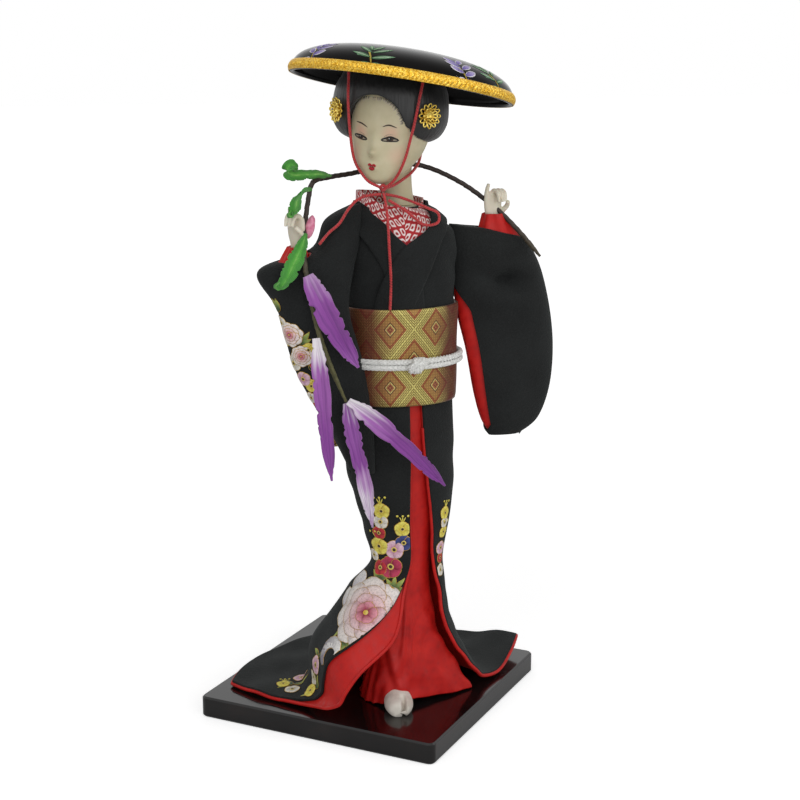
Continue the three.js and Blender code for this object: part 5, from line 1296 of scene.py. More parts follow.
# Sleeve print: the same stencilled flowers in a close bunch down the outer edge of the right sleeve,
# in the same film of pigment over gold outlines, but smaller.
SLEEVE_PLUMS = [
    ("yellow", 3.0, (-46.5, -16.0, 171)), ("red", 2.2, (-44, -15.5, 165)), ("navy", 2.6, (-42.4, -16, 160)),
    ("white", 3.6, (-51.5, -11, 164)), ("yellow", 3.0, (-44.8, -14.5, 154.5)),
    ("pink", 3.4, (-47.6, -12.5, 157.5)), ("white", 2.8, (-43.8, -12.4, 149)),
    ("red", 2.2, (-42.5, -14, 145.5)), ("yellow", 2.4, (-55.5, -11.5, 174)),
    ("white", 3.2, (-57, -10, 182))]


def on_sleeve(place, share, lift):
    return sleeve_at(
        "right", np.clip(place, 0, 8), np.clip(share, 0.02, 0.98), -lift, *OPENINGS["right"][:2])


P, Q = np.linspace(2, 8, 160), np.linspace(0.02, 0.98, 240)
marks = []
for anchor, headings in (
        ((-58, -11, 187), (80, 110, 140, 60)), ((-50, -14.9, 173), (40, 75, 10, 110)),
        ((-46, -15, 162), (30, 60, 0)), ((-44.5, -13, 151), (250, 280, 310))):
    leafy(marks, cloth_patch(on_sleeve, P, Q, anchor), 0, 0, headings, 6.5, 2.2, LEAF_INK, 0.25)
for kind, size, anchor in SLEEVE_PLUMS:
    blossom(
        marks, cloth_patch(on_sleeve, P, Q, anchor), size, 5, PLUM[kind],
        0.35 + 0.002 * len(marks) ** 0.5)
for size, anchor in ((5.6, (-53.5, -13.3, 177)), (4.8, (-49, -14.5, 167.5))):
    peony(marks, cloth_patch(on_sleeve, P, Q, anchor), size, 0.42)
fit(printed("sleeve_print", marks), pigment, "figure", "black_crepe")


# Branch: an iron wire bound with brown paper tape, bent from the left hand behind the neck to the right hand,
# from which it hangs in front with the blossoms.
BRANCH_R = 1.1
BRANCH = [
    (61, -14, 205.5), (51.5, -9.5, 217.5), (43, -3, 227), (30, 5, 237.5), (14, 11.5, 244.7),
    (-2.5, 12.5, 245), (-18, 9.5, 242.5), (-31, 2, 241.8), (-40.5, -5, 240.5), (-43.5, -7.5, 233.3),
    (-45.7, -10, 223), (-48, -16, 213.5), (-48.4, -20, 204.7), (-47, -22.5, 193), (-44.6, -24, 180.5),
    (-39.8, -25, 165.4), (-33, -25.5, 149)]
PAPER_PITCH = 4.0
path = run_of(BRANCH, 520)
gone = np.linspace(0, np.linalg.norm(np.diff(path, axis=0), axis=1).sum(), len(path))[:, None]
turn = (gone / PAPER_PITCH + np.linspace(0, 1, 13)[None, :-1]) % 1
tip = 1 - 0.45 * smooth(0.93, 1, gone / gone.max()) - 0.45 * (1 - smooth(0, 0.03, gone / gone.max()))
branch = loft("wrapped_branch", along_path(path, (BRANCH_R - 0.12 + 0.2 * turn) * tip, 12))

# Crepe paper tape: dark brown turning olive towards the hanging end, waxy, crinkled across the wire.
tape, tree, shader, spot = surface("waxed paper tape", {"Roughness": 0.6})
parts = add(tree, "SeparateXYZ", {"Vector": spot}).outputs
olive = add(tree, "MapRange", {"Value": parts["Z"], "From Min": 0.232, "From Max": 0.18})
crinkle = add(tree, "TexNoise", {"Vector": spot, "Scale": 1 / 0.0016, "Detail": 4.0})
bark = add(tree, "ValToRGB", {"Fac": crinkle}, stops=[(0.3, "1d1512"), (0.7, "3a2b24")])
stalk = add(tree, "ValToRGB", {"Fac": crinkle}, stops=[(0.3, "41401f"), (0.7, "5d5a33")])
wrap = add(tree, "Mix", {"Factor": olive, 6: bark, 7: stalk}, data_type="RGBA")
wrinkle = add(tree, "Bump", {"Height": crinkle, "Strength": 0.5, "Distance": 0.0004})
feed(shader, {"Base Color": wrap.outputs[2], "Normal": wrinkle})
fit(branch, tape, "figure", "wire_paper", "branch_stem")


# Leaves and blossoms: strips of cloth cut to shape, creased down the middle and glued to the branch.
# The cut edges are nicked and frayed, the leaf tips are rolled up and the blossoms' ends taper.
def blade(name, route, outline, cup, sideways, ragged, seed, dyes=None):
    """A cupped strip along a route, creased along its middle, with a nicked edge and dyes if given."""
    path = run_of(route, 110)
    ahead = ahead_on(path)
    side = np.array(sideways) - ahead * (ahead @ np.array(sideways))[:, None]
    side /= np.linalg.norm(side, axis=1)[:, None]
    face = np.cross(ahead, side)
    t = np.linspace(0, 1, 110)[:, None]
    c = np.linspace(-1, 1, 25)[None, :]
    halves = between(np.array(outline)[:, None], np.linspace(0, len(outline) - 1, 60))[:, 0]
    half = np.interp(t, np.linspace(0, 1, 60), halves)
    chance = np.random.default_rng(seed)
    reach = half * (1 + 0.06 * np.sin(t * 11 + seed) + 0.04 * np.sin(t * 31 + 2 * seed))
    for edge in (-1, 1):
        for _ in range(9):
            place, wide, deep = (chance.uniform(*ends) for ends in ((0.03, 0.97), (0.008, 0.03), (0.3, 1)))
            nick = np.clip(1 - np.abs(t - place) / wide, 0, 1)
            reach = reach * (1 - ragged * deep * nick * np.clip(edge * c, 0, 1) ** 5)
    crease = 0.35 * np.abs(c) ** 0.6 - 0.25
    flutter = 0.9 * np.sin(t * 9 + seed) * np.abs(c) ** 2 + 0.5 * np.sin(t * 23 + 2 * seed) * c ** 3
    flutter = flutter + 0.35 * np.sin(5 * c + 2 * np.sin(4 * t + seed))
    points = path[:, None] + side[:, None] * (reach * c)[..., None]
    up = cup * half * c ** 2 + crease + flutter * half / 5.5
    points = points + face[:, None] * up[..., None]
    paint = None
    if dyes:
        where = np.clip(t + 0.07 * ripple(points, 9, seed) + 0.05 * np.sin(9 * c + seed) - 0.04 * c, 0, 1)
        codes = np.array([linear(code) for _, code in dyes])
        paint = np.stack([np.interp(where, [at for at, _ in dyes], codes[:, k]) for k in range(4)], -1)
    return loft(name, points, False, False, cut=np.stack(np.broadcast_arrays(c, t), -1), paint=paint)


VIEW_SIDE = (0.95, -0.3, 0)
LEAF_THICK, PETAL_THICK = 0.4, 0.5
LEAVES = [
    ((0.6, 1.5, 1.9, 2.2, 2.4, 2.6, 2.2, 0.6), (0, 0.2, 1),
     [(-31, -0.5, 242.6), (-38, -4.5, 243.8), (-45, -7.5, 244), (-50.5, -9.5, 244.2), (-53.2, -10.8, 246),
      (-52, -11, 248.6), (-49.6, -10.6, 247.6), (-50, -10.4, 245.8)]),
    ((0.6, 2.2, 3.2, 3.4, 2.8, 1.8, 0.5), (0.6, -0.5, 0.6),
     [(-42.5, -10, 237.6), (-46.5, -12.8, 237), (-50, -14.8, 234), (-51.4, -15.6, 229.5), (-53, -16, 227.4),
      (-54.4, -16.4, 228.6), (-53.6, -16.8, 230.2)]),
    ((0.7, 2.2, 3.3, 3.6, 3.3, 2.6, 1.6, 0.5), VIEW_SIDE,
     [(-46.5, -14, 220), (-49, -16, 214.5), (-53, -18.2, 208), (-57, -19.6, 201.5), (-60.4, -20.8, 198),
      (-62, -22, 199.6), (-60.6, -22.8, 201.4)])]

# Dyed polyester leaf cloth: fresh green, paler along the pressed vein, with a fine diagonal weave.
leaf_cloth, tree, shader, spot = surface("dyed leaf cloth", {"Roughness": 0.7, "Sheen Weight": 0.2})
spread = add(tree, "UVMap", uv_map="cut")
parts = add(tree, "SeparateXYZ", {"Vector": spread}).outputs
vein = add(tree, "Math", [parts["X"]], operation="ABSOLUTE")
blotch = add(tree, "TexNoise", {"Vector": spot, "Scale": 1 / 0.003, "Detail": 4.0})
mixed = add(tree, "Math", [blotch, 0.8, vein], operation="MULTIPLY_ADD")
green = add(tree, "ValToRGB", {"Fac": mixed}, stops=[(0.3, "93d468"), (0.55, "5cb542"), (0.95, "459a36")])
slant = add(tree, "Math", [parts["Y"], 4.0, vein], operation="MULTIPLY_ADD")
ribs = add(tree, "TexWave", {"Vector": slant, "Scale": 1.6, "Distortion": 0.4}, bands_direction="X")
ribbed = add(tree, "Bump", {"Height": ribs.outputs["Fac"], "Strength": 0.6, "Distance": 0.0004})
feed(shader, {"Base Color": green, "Normal": ribbed})
for i, (outline, sideways, route) in enumerate(LEAVES):
    leaf = thicken(blade(f"cloth_leaf_{i + 1}", route, outline, 0.35, sideways, 0.25, i + 81), LEAF_THICK)
    fit(leaf, leaf_cloth, "figure", "leaf_green", f"leaf_{i + 1}")

PETAL_EDGE = (2.6, 5.0, 5.6, 5.5, 5.4, 5.2, 4.6, 3.2, 0.7)
PETAL_WIDE = (0.88, 0.62, 0.7, 0.62)
PETALS = [
    [(-48, -21.6, 203.5), (-43, -25.6, 191), (-35.5, -27, 177), (-28, -27.5, 164)],
    [(-46, -26, 177.5), (-45, -29, 160), (-43.5, -30, 140), (-41, -30, 116)],
    [(-32.5, -27, 149.6), (-18, -32.5, 138), (-3, -33, 123.5), (9.5, -33, 110)],
    [(-32.8, -25.5, 148.5), (-29.5, -25.5, 132), (-25, -26, 112), (-21.5, -26, 92)]]
PETAL_DYES = [
    [(0, "c19ac9"), (0.2, "9a52a8"), (0.7, "8a3f9a"), (1, "a05cb0")],
    [(0, "f2eef0"), (0.12, "e4d6e6"), (0.26, "a763b2"), (0.75, "8c409c"), (1, "9549a4")],
    [(0, "f4f0f1"), (0.12, "e2d2e4"), (0.28, "ac6cb8"), (0.5, "8c409c"), (1, "863a98")],
    [(0, "dccbe0"), (0.12, "a05cb0"), (0.5, "8a3f9a"), (0.66, "c095c8"), (0.84, "eae2ea"), (1, "9a56a8")]]

# Brushed satin petals: dip dyed from white through lilac to violet, darker in streaks along the length.
petal_cloth, tree, shader, spot = surface("dip dyed petal satin", {"Roughness": 0.75, "Sheen Weight": 0.35})
spread = add(tree, "UVMap", uv_map="cut")
long_streaks = add(tree, "Mapping", {"Vector": spread, "Scale": (5.0, 1.6, 1.0)})
streak = add(tree, "TexNoise", {"Vector": long_streaks, "Scale": 1.0, "Detail": 5.0})
tint = add(tree, "Attribute", attribute_name="paint")
deep = add(tree, "ValToRGB", {"Fac": streak}, stops=[(0.32, (0.6, 0.52, 0.66, 1)), (0.55, (1, 1, 1, 1))])
violet = add(
    tree, "Mix", {"Factor": 1.0, 6: tint.outputs["Color"], 7: deep}, data_type="RGBA",
    blend_type="MULTIPLY")
nap = add(tree, "TexNoise", {"Vector": spot, "Scale": 1 / 0.0012, "Detail": 4.0})
brushed = add(tree, "Bump", {"Height": nap, "Strength": 0.45, "Distance": 0.0005})
feed(shader, {"Base Color": violet.outputs[2], "Normal": brushed})
for i, (route, dyes, wide) in enumerate(zip(PETALS, PETAL_DYES, PETAL_WIDE)):
    outline = [wide * half for half in PETAL_EDGE]
    petal = thicken(
        blade(f"cloth_petal_{i + 1}", route, outline, 0.3, VIEW_SIDE, 0.3, i + 91, dyes), PETAL_THICK)
    fit(petal, petal_cloth, "figure", "petal_purple", f"petal_{i + 1}")

# Bud: a small roll of pink petal cloth glued to the branch above the right hand.
# Three turns of the cloth overlap, and the edge of each shows as a low step.
BUD = [(-5, 0.3), (-3.4, 1.4), (0, 2.1), (3.4, 1.5), (5, 0.3)]
rings = between(BUD, np.linspace(0, 4, 40))[:, None, :]
angle = circuit(32)
wound = 1 - 0.14 * ((angle / (2 * np.pi) * 3 + rings[..., 0] / 9) % 1)
rows = np.stack(
    [rings[..., 1] * wound * np.sin(angle), -rings[..., 1] * wound * np.cos(angle),
     rings[..., 0] + 0 * angle], -1)
bud = loft("pink_bud", turned(rows, 12, "Y") + np.array([-43.8, -11.4, 222.4]))
pink = [(0.3, "d86a90"), (0.7, "f0a8c0")]
bud_cloth = mottled("pink petal cloth", {"Roughness": 0.75, "Sheen Weight": 0.3}, 0.0015, 4.0, pink)[0]
fit(bud, bud_cloth, "figure", "bud_pink", "branch_bud")


# Head: a moulded head and neck with a smooth oval face, turned to the doll's right, painted shell white.
# The neck is bored for the peg on which the head turns by hand.
HEAD_AT = np.array([-5.4, -2.6, 240.5])
HEAD_TURN, HEAD_ROLL = -40, 3
FACE_HALF, FACE_DEEP, SKULL_BACK = 17.0, 20.0, 16.5
SKULL = [
    (-0.6, 0.17, 0.8, -0.62), (1.5, 0.36, 0.93, -0.36), (4.5, 0.56, 0.975, 0), (8, 0.74, 1, 0.42),
    (12.5, 0.88, 1, 0.72), (19, 0.98, 0.98, 0.94), (26, 1, 0.99, 1.03), (34, 0.95, 0.92, 1.02),
    (41, 0.75, 0.7, 0.82), (46, 0.36, 0.34, 0.42)]


def on_head(points):
    return turned(turned(points, HEAD_ROLL, "Y"), HEAD_TURN) + HEAD_AT


def skull_at(angle, place, grow=0.0):
    """The head's surface in its own frame, with the chin at zero and the face to the front."""
    height, wide, front, back = np.moveaxis(between(SKULL, place), -1, 0)
    half, front, back = FACE_HALF * wide + grow, FACE_DEEP * front + grow, SKULL_BACK * back + grow
    away = np.degrees(np.abs((angle + np.pi) % (2 * np.pi) - np.pi))
    nose = 2.6 * bell(away, 0, 7.5) * (0.45 * bell(height, 17, 4.5) + bell(height, 12.8, 2.1))
    eyes = -0.5 * bell(away, 24, 12) * bell(height, 19, 2.6)
    lips = 0.5 * bell(away, 0, 12) * (bell(height, 7.9, 0.9) + bell(height, 6.0, 0.9))
    out = nose + eyes + lips
    y = (back - front) / 2 - (back + front) / 2 * np.cos(angle)
    parts = np.broadcast_arrays((half + out) * np.sin(angle), y - out * np.cos(angle), height)
    return np.stack(parts, -1)


place = np.linspace(0, len(SKULL) - 1, 110)[:, None]
angle = circuit(180)
head = loft("doll_head", on_head(skull_at(angle, place)))
NECK = [
    (229.3, 6.4, 6.4, 0, 0), (235.3, 6, 6, -0.65, -0.26), (242.5, 6.6, 6.8, -1.9, -0.78),
    (251.5, 8.6, 8.4, -3.8, -1.56), (256.5, 8.6, 8.4, -5.4, -2.1)]
rings = between(NECK, np.linspace(0, 4, 40))[:, None, :]
stem = oval(rings[..., 1:3], angle, rings[..., 0])
stem[..., 0] += rings[..., 3]
stem[..., 1] += rings[..., 4]
combine(head, loft("neck", stem), "UNION")
BORE_R, BORE_FOOT, BORE_TOP = 2.7, 228, 252.3
bore = circuit(32)[0]
carve(head, np.array([oval(np.array([BORE_R, BORE_R]), bore, z) for z in (BORE_FOOT, BORE_TOP)]))

# The same white on the face, but set darker than on the hands as painted shade, with a breath of pink rubbed in round
# the eyes and on the cheeks and chin.
BLUSH = [
    ((-7.2, -17.5, 21), 5.5, 0.5), ((6.1, -17.8, 21), 5.5, 0.5), ((-9.5, -15, 12), 6.5, 0.35),
    ((8.5, -15.5, 12), 6.5, 0.35)]
made_up_and_shaded = gofun.copy()
made_up_and_shaded.name = "made-up and shaded gofun"
tree = made_up_and_shaded.node_tree
shader = tree.nodes["Principled BSDF"]
white = shader.inputs["Base Color"].links[0].from_socket
# Painted shade: the face's white is darker than the hands'.
for stop, code in zip(white.node.color_ramp.elements, ("c0b592", "cec4a4")):
    stop.color = linear(code)
spot = add(tree, "TexCoord").outputs["Object"]
strength = 0.0
for middle, reach, most in BLUSH:
    away = add(
        tree, "VectorMath", [spot, (on_head(np.array(middle)) + FIGURE) * 0.001],
        operation="DISTANCE")
    near = add(
        tree, "MapRange",
        {"Value": away.outputs["Value"], "From Min": reach * 0.001, "From Max": 0.0, "To Max": most},
        interpolation_type="SMOOTHSTEP")
    strength = add(tree, "Math", [near, strength], operation="MAXIMUM")
rosy = add(tree, "Mix", {"Factor": strength, 6: white, 7: "e3a592"}, data_type="RGBA")
feed(shader, {"Base Color": rosy.outputs[2]})
fit(head, made_up_and_shaded, "head", "ivory", "head")


# Wig: combed silk hair glued over the head in a rounded mass with two full side lobes, open round the face.
# It is flat under the hat.
HAIR_LOW, HAIR_A, HAIR_FRONT, HAIR_BACK, HAIR_SHIFT = 16.5, 25.5, 17.0, 24.0, -1.9
HAIR = [
    (0, 0.68, 0.75, 0.7), (2.5, 0.86, 1, 0.9), (8, 0.98, 1.12, 1), (15, 1, 1.16, 1), (22, 0.96, 1.14, 0.97),
    (28, 0.84, 1, 0.84), (42, 0.6, 0.62, 0.6)]
FACE_OPENING, HAIRLINE = 25.5, 36.5
HAT_AT = np.array([0.6, -0.2, 278.7])
HAT_LEAN_X, HAT_LEAN_Y = 10.5, -3.6
HAT_R, HAT_HIGH, HAT_WALL = 48.2, 16.2, 1.5
DOME_WIDE, DOME_HIGH = 0.92, 0.72


def on_hat(points):
    return turned(turned(points, HAT_LEAN_X, "Y"), HAT_LEAN_Y, "X") + HAT_AT


def hat_profile(out, steps):
    """Radius and height down the dome from its crown to its rim."""
    angle = np.linspace(0.002, np.pi / 2, steps)
    reach = (HAT_R + out) * np.sin(angle) ** DOME_WIDE
    return np.stack([reach, (HAT_HIGH + out) * np.cos(angle).clip(0) ** DOME_HIGH], -1)


def spun(profile, steps):
    """Rings of a profile turned round the upright axis."""
    angle = circuit(steps)
    reach = profile[:, None, 0]
    return np.stack([reach * np.sin(angle), -reach * np.cos(angle), profile[:, None, 1] + 0 * angle], -1)


rise, wide, front, back = np.moveaxis(between(HAIR, np.linspace(0, 6, 90))[:, None, :], -1, 0)
angle = circuit(160)
front, back = HAIR_FRONT * front, HAIR_BACK * back
away = np.abs(np.degrees((angle + np.pi) % (2 * np.pi) - np.pi))
lobe = 0.9 * bell(np.abs(away - 62), 0, 22) * bell(rise, 9, 8)
mass = oval(np.stack([HAIR_A * wide, (front + back) / 2], -1), angle, HAIR_LOW + rise, lobe - 0.3)
mass[..., 0] += HAIR_SHIFT
mass[..., 1] += (back - front) / 2
wig = loft("combed_wig", on_head(mass))
carve(wig, on_head(skull_at(angle, place, 0.3)))
half = FACE_OPENING / 2
bend = np.linspace(0, np.pi, 40)
arch = np.stack([half * np.cos(bend), HAIRLINE - half + half * np.sin(bend)], -1)
arch = np.concatenate([[(half, -5)], arch, [(-half, -5)]])
opening = np.array(
    [np.stack([arch[:, 0] + HAIR_SHIFT, np.full(len(arch), y), arch[:, 1]], -1) for y in (-4, -55)])
carve(wig, on_head(opening))
room = np.concatenate([hat_profile(-HAT_WALL - 0.3, 24), [(96, 0), (96, 96), (0.05, 96)]])
carve(wig, on_hat(spun(room, 64)))
wig = merged("combed_hair", [wig], 0.42)

# Black silk hair: satin with long fine combed lines, a soft grey shine where it turns to the light.
silk_hair, tree, shader, spot = surface("combed silk hair", {"Roughness": 0.42, "Sheen Weight": 0.15})
combed = add(
    tree, "Mapping",
    {"Vector": spot, "Rotation": (0.12, -0.1, 0.7), "Scale": (1 / 0.0011, 1 / 0.0011, 1 / 0.03)})
strands = add(tree, "TexNoise", {"Vector": combed, "Scale": 1.0, "Detail": 3.0})
jet = add(tree, "ValToRGB", {"Fac": strands}, stops=[(0.3, "0b0b0b"), (0.75, "1f1f1e")])
comb = add(tree, "Bump", {"Height": strands, "Strength": 0.6, "Distance": 0.0005})
feed(shader, {"Base Color": jet, "Normal": comb})
fit(wig, silk_hair, "head", "hair", "wig")


# Painted face: fine brush lines for the brows, lids and lips and a soft fringe at the hairline, laid on
# the white with ink and water colour; the blush on the lids and cheeks is in the white itself.
INK, BROWN, LIP = "17120f", "4a3a30", "b3202a"


def on_face(angle, place, lift):
    return on_head(skull_at(angle, np.clip(place, 0.2, 8.8), lift))


def brush(marks, route, wide, code, lift, sharp=0.5, end=None):
    """A tapering brush line on the face, in millimetres to the doll's left and above the chin."""
    path = between(route, np.linspace(0, len(route) - 1, 10))
    ahead = ahead_on(path)
    t = np.linspace(0.004, 0.996, 10)[:, None]
    half = wide / 2 * np.sin(np.pi * t) ** sharp * np.linspace(-1, 1, 5)[None, :]
    flat = face_patch(path[:, :1] - ahead[:, 1:] * half, path[:, 1:] + ahead[:, :1] * half, lift)
    root, end = np.array(linear(code)), np.array(linear(end or code))
    marks.append((flat, root + smooth(0.05, 0.95, t + 0 * half)[..., None] * (end - root)))


to_head = np.array([on_head(np.array(v, float)) for v in ((0, 0, 0), (1, 0, 0), (0, 0, 1))])
face_patch = patch(on_face, (0.0, 4.5), to_head[0], to_head[1] - to_head[0], to_head[2] - to_head[0])
marks = []
EYES = [[(-3.7, 18.0), (-7.1, 19.3), (-11.0, 19.4)], [(2.6, 18.2), (6.0, 19.5), (9.5, 18.3)]]
# Iris, pupil and a painted highlight: the small pale mark on each eye stands in for a reflection.
IRIS_PUPIL_HIGHLIGHT = [
    ([(-1.35, -0.1), (0, -0.1), (1.35, -0.1)], 1.5, "3c2a1c", 0.11),
    ([(-0.75, -0.05), (0, -0.05), (0.75, -0.05)], 1.2, "0e0b0a", 0.14),
    ([(-0.5, 0.25), (-0.3, 0.28), (-0.1, 0.25)], 0.3, "e6e0d6", 0.17)]
for inner, middle, outer in np.array(EYES):
    centre = (inner + outer) / 2 * (0.5, 0.5) + middle * (0.5, 0.5) - (0, 0.25)
    brush(marks, [inner, centre - (0, 0.05), outer], 2.1, INK, 0.05)
    white = [inner * 0.86 + centre * 0.14, centre - (0, 0.25), outer * 0.8 + centre * 0.2]
    brush(marks, white, 0.75, "968c7a", 0.08)
    for dot, wide, code, lift in IRIS_PUPIL_HIGHLIGHT:
        brush(marks, centre + np.array(dot), wide, code, lift)
    brush(marks, [inner - (0, 0.1), middle + (0, 0.15), outer + (0, 0.2)], 0.6, INK, 0.17, 0.7)
    fold = [inner + (0, 0.5), middle + (0, 1.25), outer + (0, 0.9)]
    brush(marks, fold, 0.28, "a88c78", 0.05, 0.8, "c8b49e")
for route in ([(-3.5, 22.9), (-6.6, 24.4), (-10.0, 24.9)], [(3.0, 23.6), (5.7, 24.5), (8.9, 23.4)]):
    brush(marks, route, 0.62, BROWN, 0.05, 0.8, INK)
for route, wide in (
        ([(-2.5, 7.3), (-1.6, 7.75), (-0.55, 7.2)], 1.1), ([(1.1, 7.0), (0.4, 7.65), (-0.6, 7.2)], 1.1),
        ([(-2.0, 6.4), (-0.7, 5.95), (0.7, 6.3)], 1.5)):
    brush(marks, route, wide, LIP, 0.07)
brush(marks, [(-2.3, 7.05), (-0.65, 6.85), (0.95, 6.85)], 0.25, "6e1018", 0.12)
for x in (-1.75, -0.15):
    brush(marks, [(x - 0.25, 10.9), (x, 11.0), (x + 0.25, 10.9)], 0.22, "b08c78", 0.05)
chance = np.random.default_rng(61)
for k in range(64):
    bend = math.pi * (0.04 + 0.92 * k / 63)
    root = np.array([HAIR_SHIFT + 12.9 * math.cos(bend), HAIRLINE - 12.75 + 12.9 * math.sin(bend)])
    inward = np.array([-math.cos(bend) * 0.5 + chance.uniform(-0.25, 0.25), -math.sin(bend)])
    long = chance.uniform(1.2, 2.8)
    hair = [root, root + inward * long / 2, root + inward * long]
    brush(marks, hair, 0.5, "2a2622", 0.05, 0.8, "cfc2ae")
face_paint = printed("face_paint", marks)

# Water colour and ink on gofun: thin, matt, with the brush's uneven load.
fit(face_paint, pigment, "head", "ivory")


# Hair flowers: gilt chrysanthemums of bent wire, two tiers of twelve open petals round a cupped eye.
# Each is pinned to a side lobe; Geometry Nodes set the petals round the middle.
FLOWER_SIZES = ("Petal Long", "Petal Wide", "Wire Radius", "Eye Radius", "Tilt")
flower_tree, into = plan(
    "wire chrysanthemum", {"Petals": "Int", **dict.fromkeys(FLOWER_SIZES, "Float"), "Gilt": "Material"})
loop = add(flower_tree, "GeometryNodeCurvePrimitiveCircle", {"Resolution": 14, "Radius": 1.0})
stretch = add(flower_tree, "CombineXYZ", {"X": into["Petal Long"], "Y": into["Petal Wide"], "Z": 1.0})
reach = add(flower_tree, "Math", [into["Petal Long"], into["Eye Radius"]], operation="ADD")
aside = add(flower_tree, "CombineXYZ", {"X": reach})
leaned = add(flower_tree, "CombineXYZ", {"Y": into["Tilt"]})
petal = add(
    flower_tree, "GeometryNodeTransform",
    {"Geometry": loop, "Scale": stretch, "Translation": aside, "Rotation": leaned})
section = add(
    flower_tree, "GeometryNodeCurvePrimitiveCircle", {"Resolution": 6, "Radius": into["Wire Radius"]})
wire = add(flower_tree, "GeometryNodeCurveToMesh", {"Curve": petal, "Profile Curve": section})
seats = add(flower_tree, "GeometryNodePoints", {"Count": into["Petals"]})
number = add(flower_tree, "GeometryNodeInputIndex")
share = add(flower_tree, "Math", [number, into["Petals"]], operation="DIVIDE")
angle_at = add(flower_tree, "Math", [share, 2 * math.pi], operation="MULTIPLY")
facing = add(flower_tree, "CombineXYZ", {"Z": angle_at})
set_round = add(
    flower_tree, "GeometryNodeInstanceOnPoints", {"Points": seats, "Instance": wire, "Rotation": facing})
real = add(flower_tree, "GeometryNodeRealizeInstances", {"Geometry": set_round})
gilded = add(flower_tree, "GeometryNodeSetMaterial", {"Geometry": real, "Material": into["Gilt"]})
add(flower_tree, "NodeGroupOutput", {"Geometry": gilded})

# Gilt brass: yellow metal, bright on the ridges and browner in the hollows.
yellow = [(0.3, "c9a037"), (0.65, "f7e07a")]
gilt, tree, shader, tarnish = mottled("gilt brass", {"Metallic": 1.0}, 0.0018, 3.0, yellow)
feed(shader, {"Roughness": add(tree, "MapRange", {"Value": tarnish, "To Min": 0.22, "To Max": 0.45})})

FLOWER_UP = 29
TIERS = [(1.55, 0.8, 2.1, -0.2, 1.7), (1.0, 0.6, 1.5, -0.5, 2.2)]
at_hair = between(HAIR, 2.8)
flower_a = HAIR_A * at_hair[1]
flower_b = (HAIR_FRONT * at_hair[2] + HAIR_BACK * at_hair[3]) / 2
for side, degrees in (("right", -41), ("left", 56)):
    place_on = math.radians(degrees)
    normal = np.array([math.sin(place_on) / flower_a, -math.cos(place_on) / flower_b, 0])
    normal /= np.linalg.norm(normal)
    seat = np.array(
        [HAIR_SHIFT + flower_a * math.sin(place_on), HAIR_BACK - flower_b * (1 + math.cos(place_on)),
         FLOWER_UP])
    across = np.cross((0, 0, 1), normal)

    def on_hair(points):
        x, y, z = (np.asarray(points)[..., k:k + 1] for k in range(3))
        return on_head(seat + x * across + y * np.array([0, 0, 1]) + z * normal)

    bumps = circuit(96)
    cup = np.array([(2.3, 0.4), (2.6, 1.4), (2.2, 1.9), (1.7, 1.8), (1.4, 0.9), (0.6, 0.8)])[:, None, :]
    scallop = cup[..., 0] * (1 + 0.05 * np.cos(12 * bumps) * smooth(1.8, 2.4, cup[..., 0]))
    disc = np.stack([scallop * np.cos(bumps), scallop * np.sin(bumps), cup[..., 1] + 0 * bumps], -1)
    plate = loft(f"{side}_flower_plate", on_hair(disc))
    fit(plate, gilt, "head", "gilt_metal", f"{side}_hair_flower")
    for tier, (long, wide, eye, tilt, up) in enumerate(TIERS):
        source = stand("flower_seed", bpy.data.meshes.new("flower_seed"))
        sizes = dict(zip(FLOWER_SIZES, (long, wide, 0.34, eye, tilt)))
        tiers = grown(
            f"{side}_flower_tier_{tier + 1}", source, flower_tree, {"Petals": 12, **sizes, "Gilt": gilt})
        spots = np.empty(len(tiers.data.vertices) * 3)
        tiers.data.vertices.foreach_get("co", spots)
        spots = spots.reshape(-1, 3) + (0, 0, up)
        tiers.data.vertices.foreach_set("co", ((on_hair(spots) + FIGURE) * 0.001).ravel())
        fit(tiers, gilt, "head", "gilt_metal")


# Hat: a wide shallow dome turned from thin wood and lacquered black, with gold braid glued round its rim.
# It rests on the wig, tipped up over the doll's right.
shell = np.concatenate([hat_profile(0, 70), hat_profile(-HAT_WALL, 50)[::-1]])
hat = loft("lacquered_hat", on_hat(spun(shell, 180)))
hat_lacquer = lacquer.copy()
hat_lacquer.name = "satin hat lacquer"
feed(hat_lacquer.node_tree.nodes["Principled BSDF"], {"IOR": 1.14, "Coat Weight": 0.02})
fit(hat, hat_lacquer, "head", "hat_lacquer", "hat_shell")
TRIM_WIDE, TRIM_THICK = 4.4, 0.7
level = np.linspace(0, TRIM_WIDE, 12)
rim = np.arccos(np.minimum(1, (level / HAT_HIGH) ** (1 / DOME_HIGH)))
reach = HAT_R * np.sin(rim) ** DOME_WIDE + 0.25
angle = circuit(720)
full = np.sin(np.pi * level / TRIM_WIDE)[:, None]
plait = 0.25 * np.sin(150 * angle + 2.2 * np.abs(level[:, None] - TRIM_WIDE / 2)) * full
face_r = reach[:, None] + TRIM_THICK * (0.45 + 0.55 * full) + plait
outer, inner = (
    np.stack([r * np.sin(angle), -r * np.cos(angle), level[:, None] + 0 * angle], -1)
    for r in (face_r, reach[:, None]))
trim = loft("hat_braid", on_hat(np.concatenate([outer, inner[::-1], outer[:1]])), capped=False)

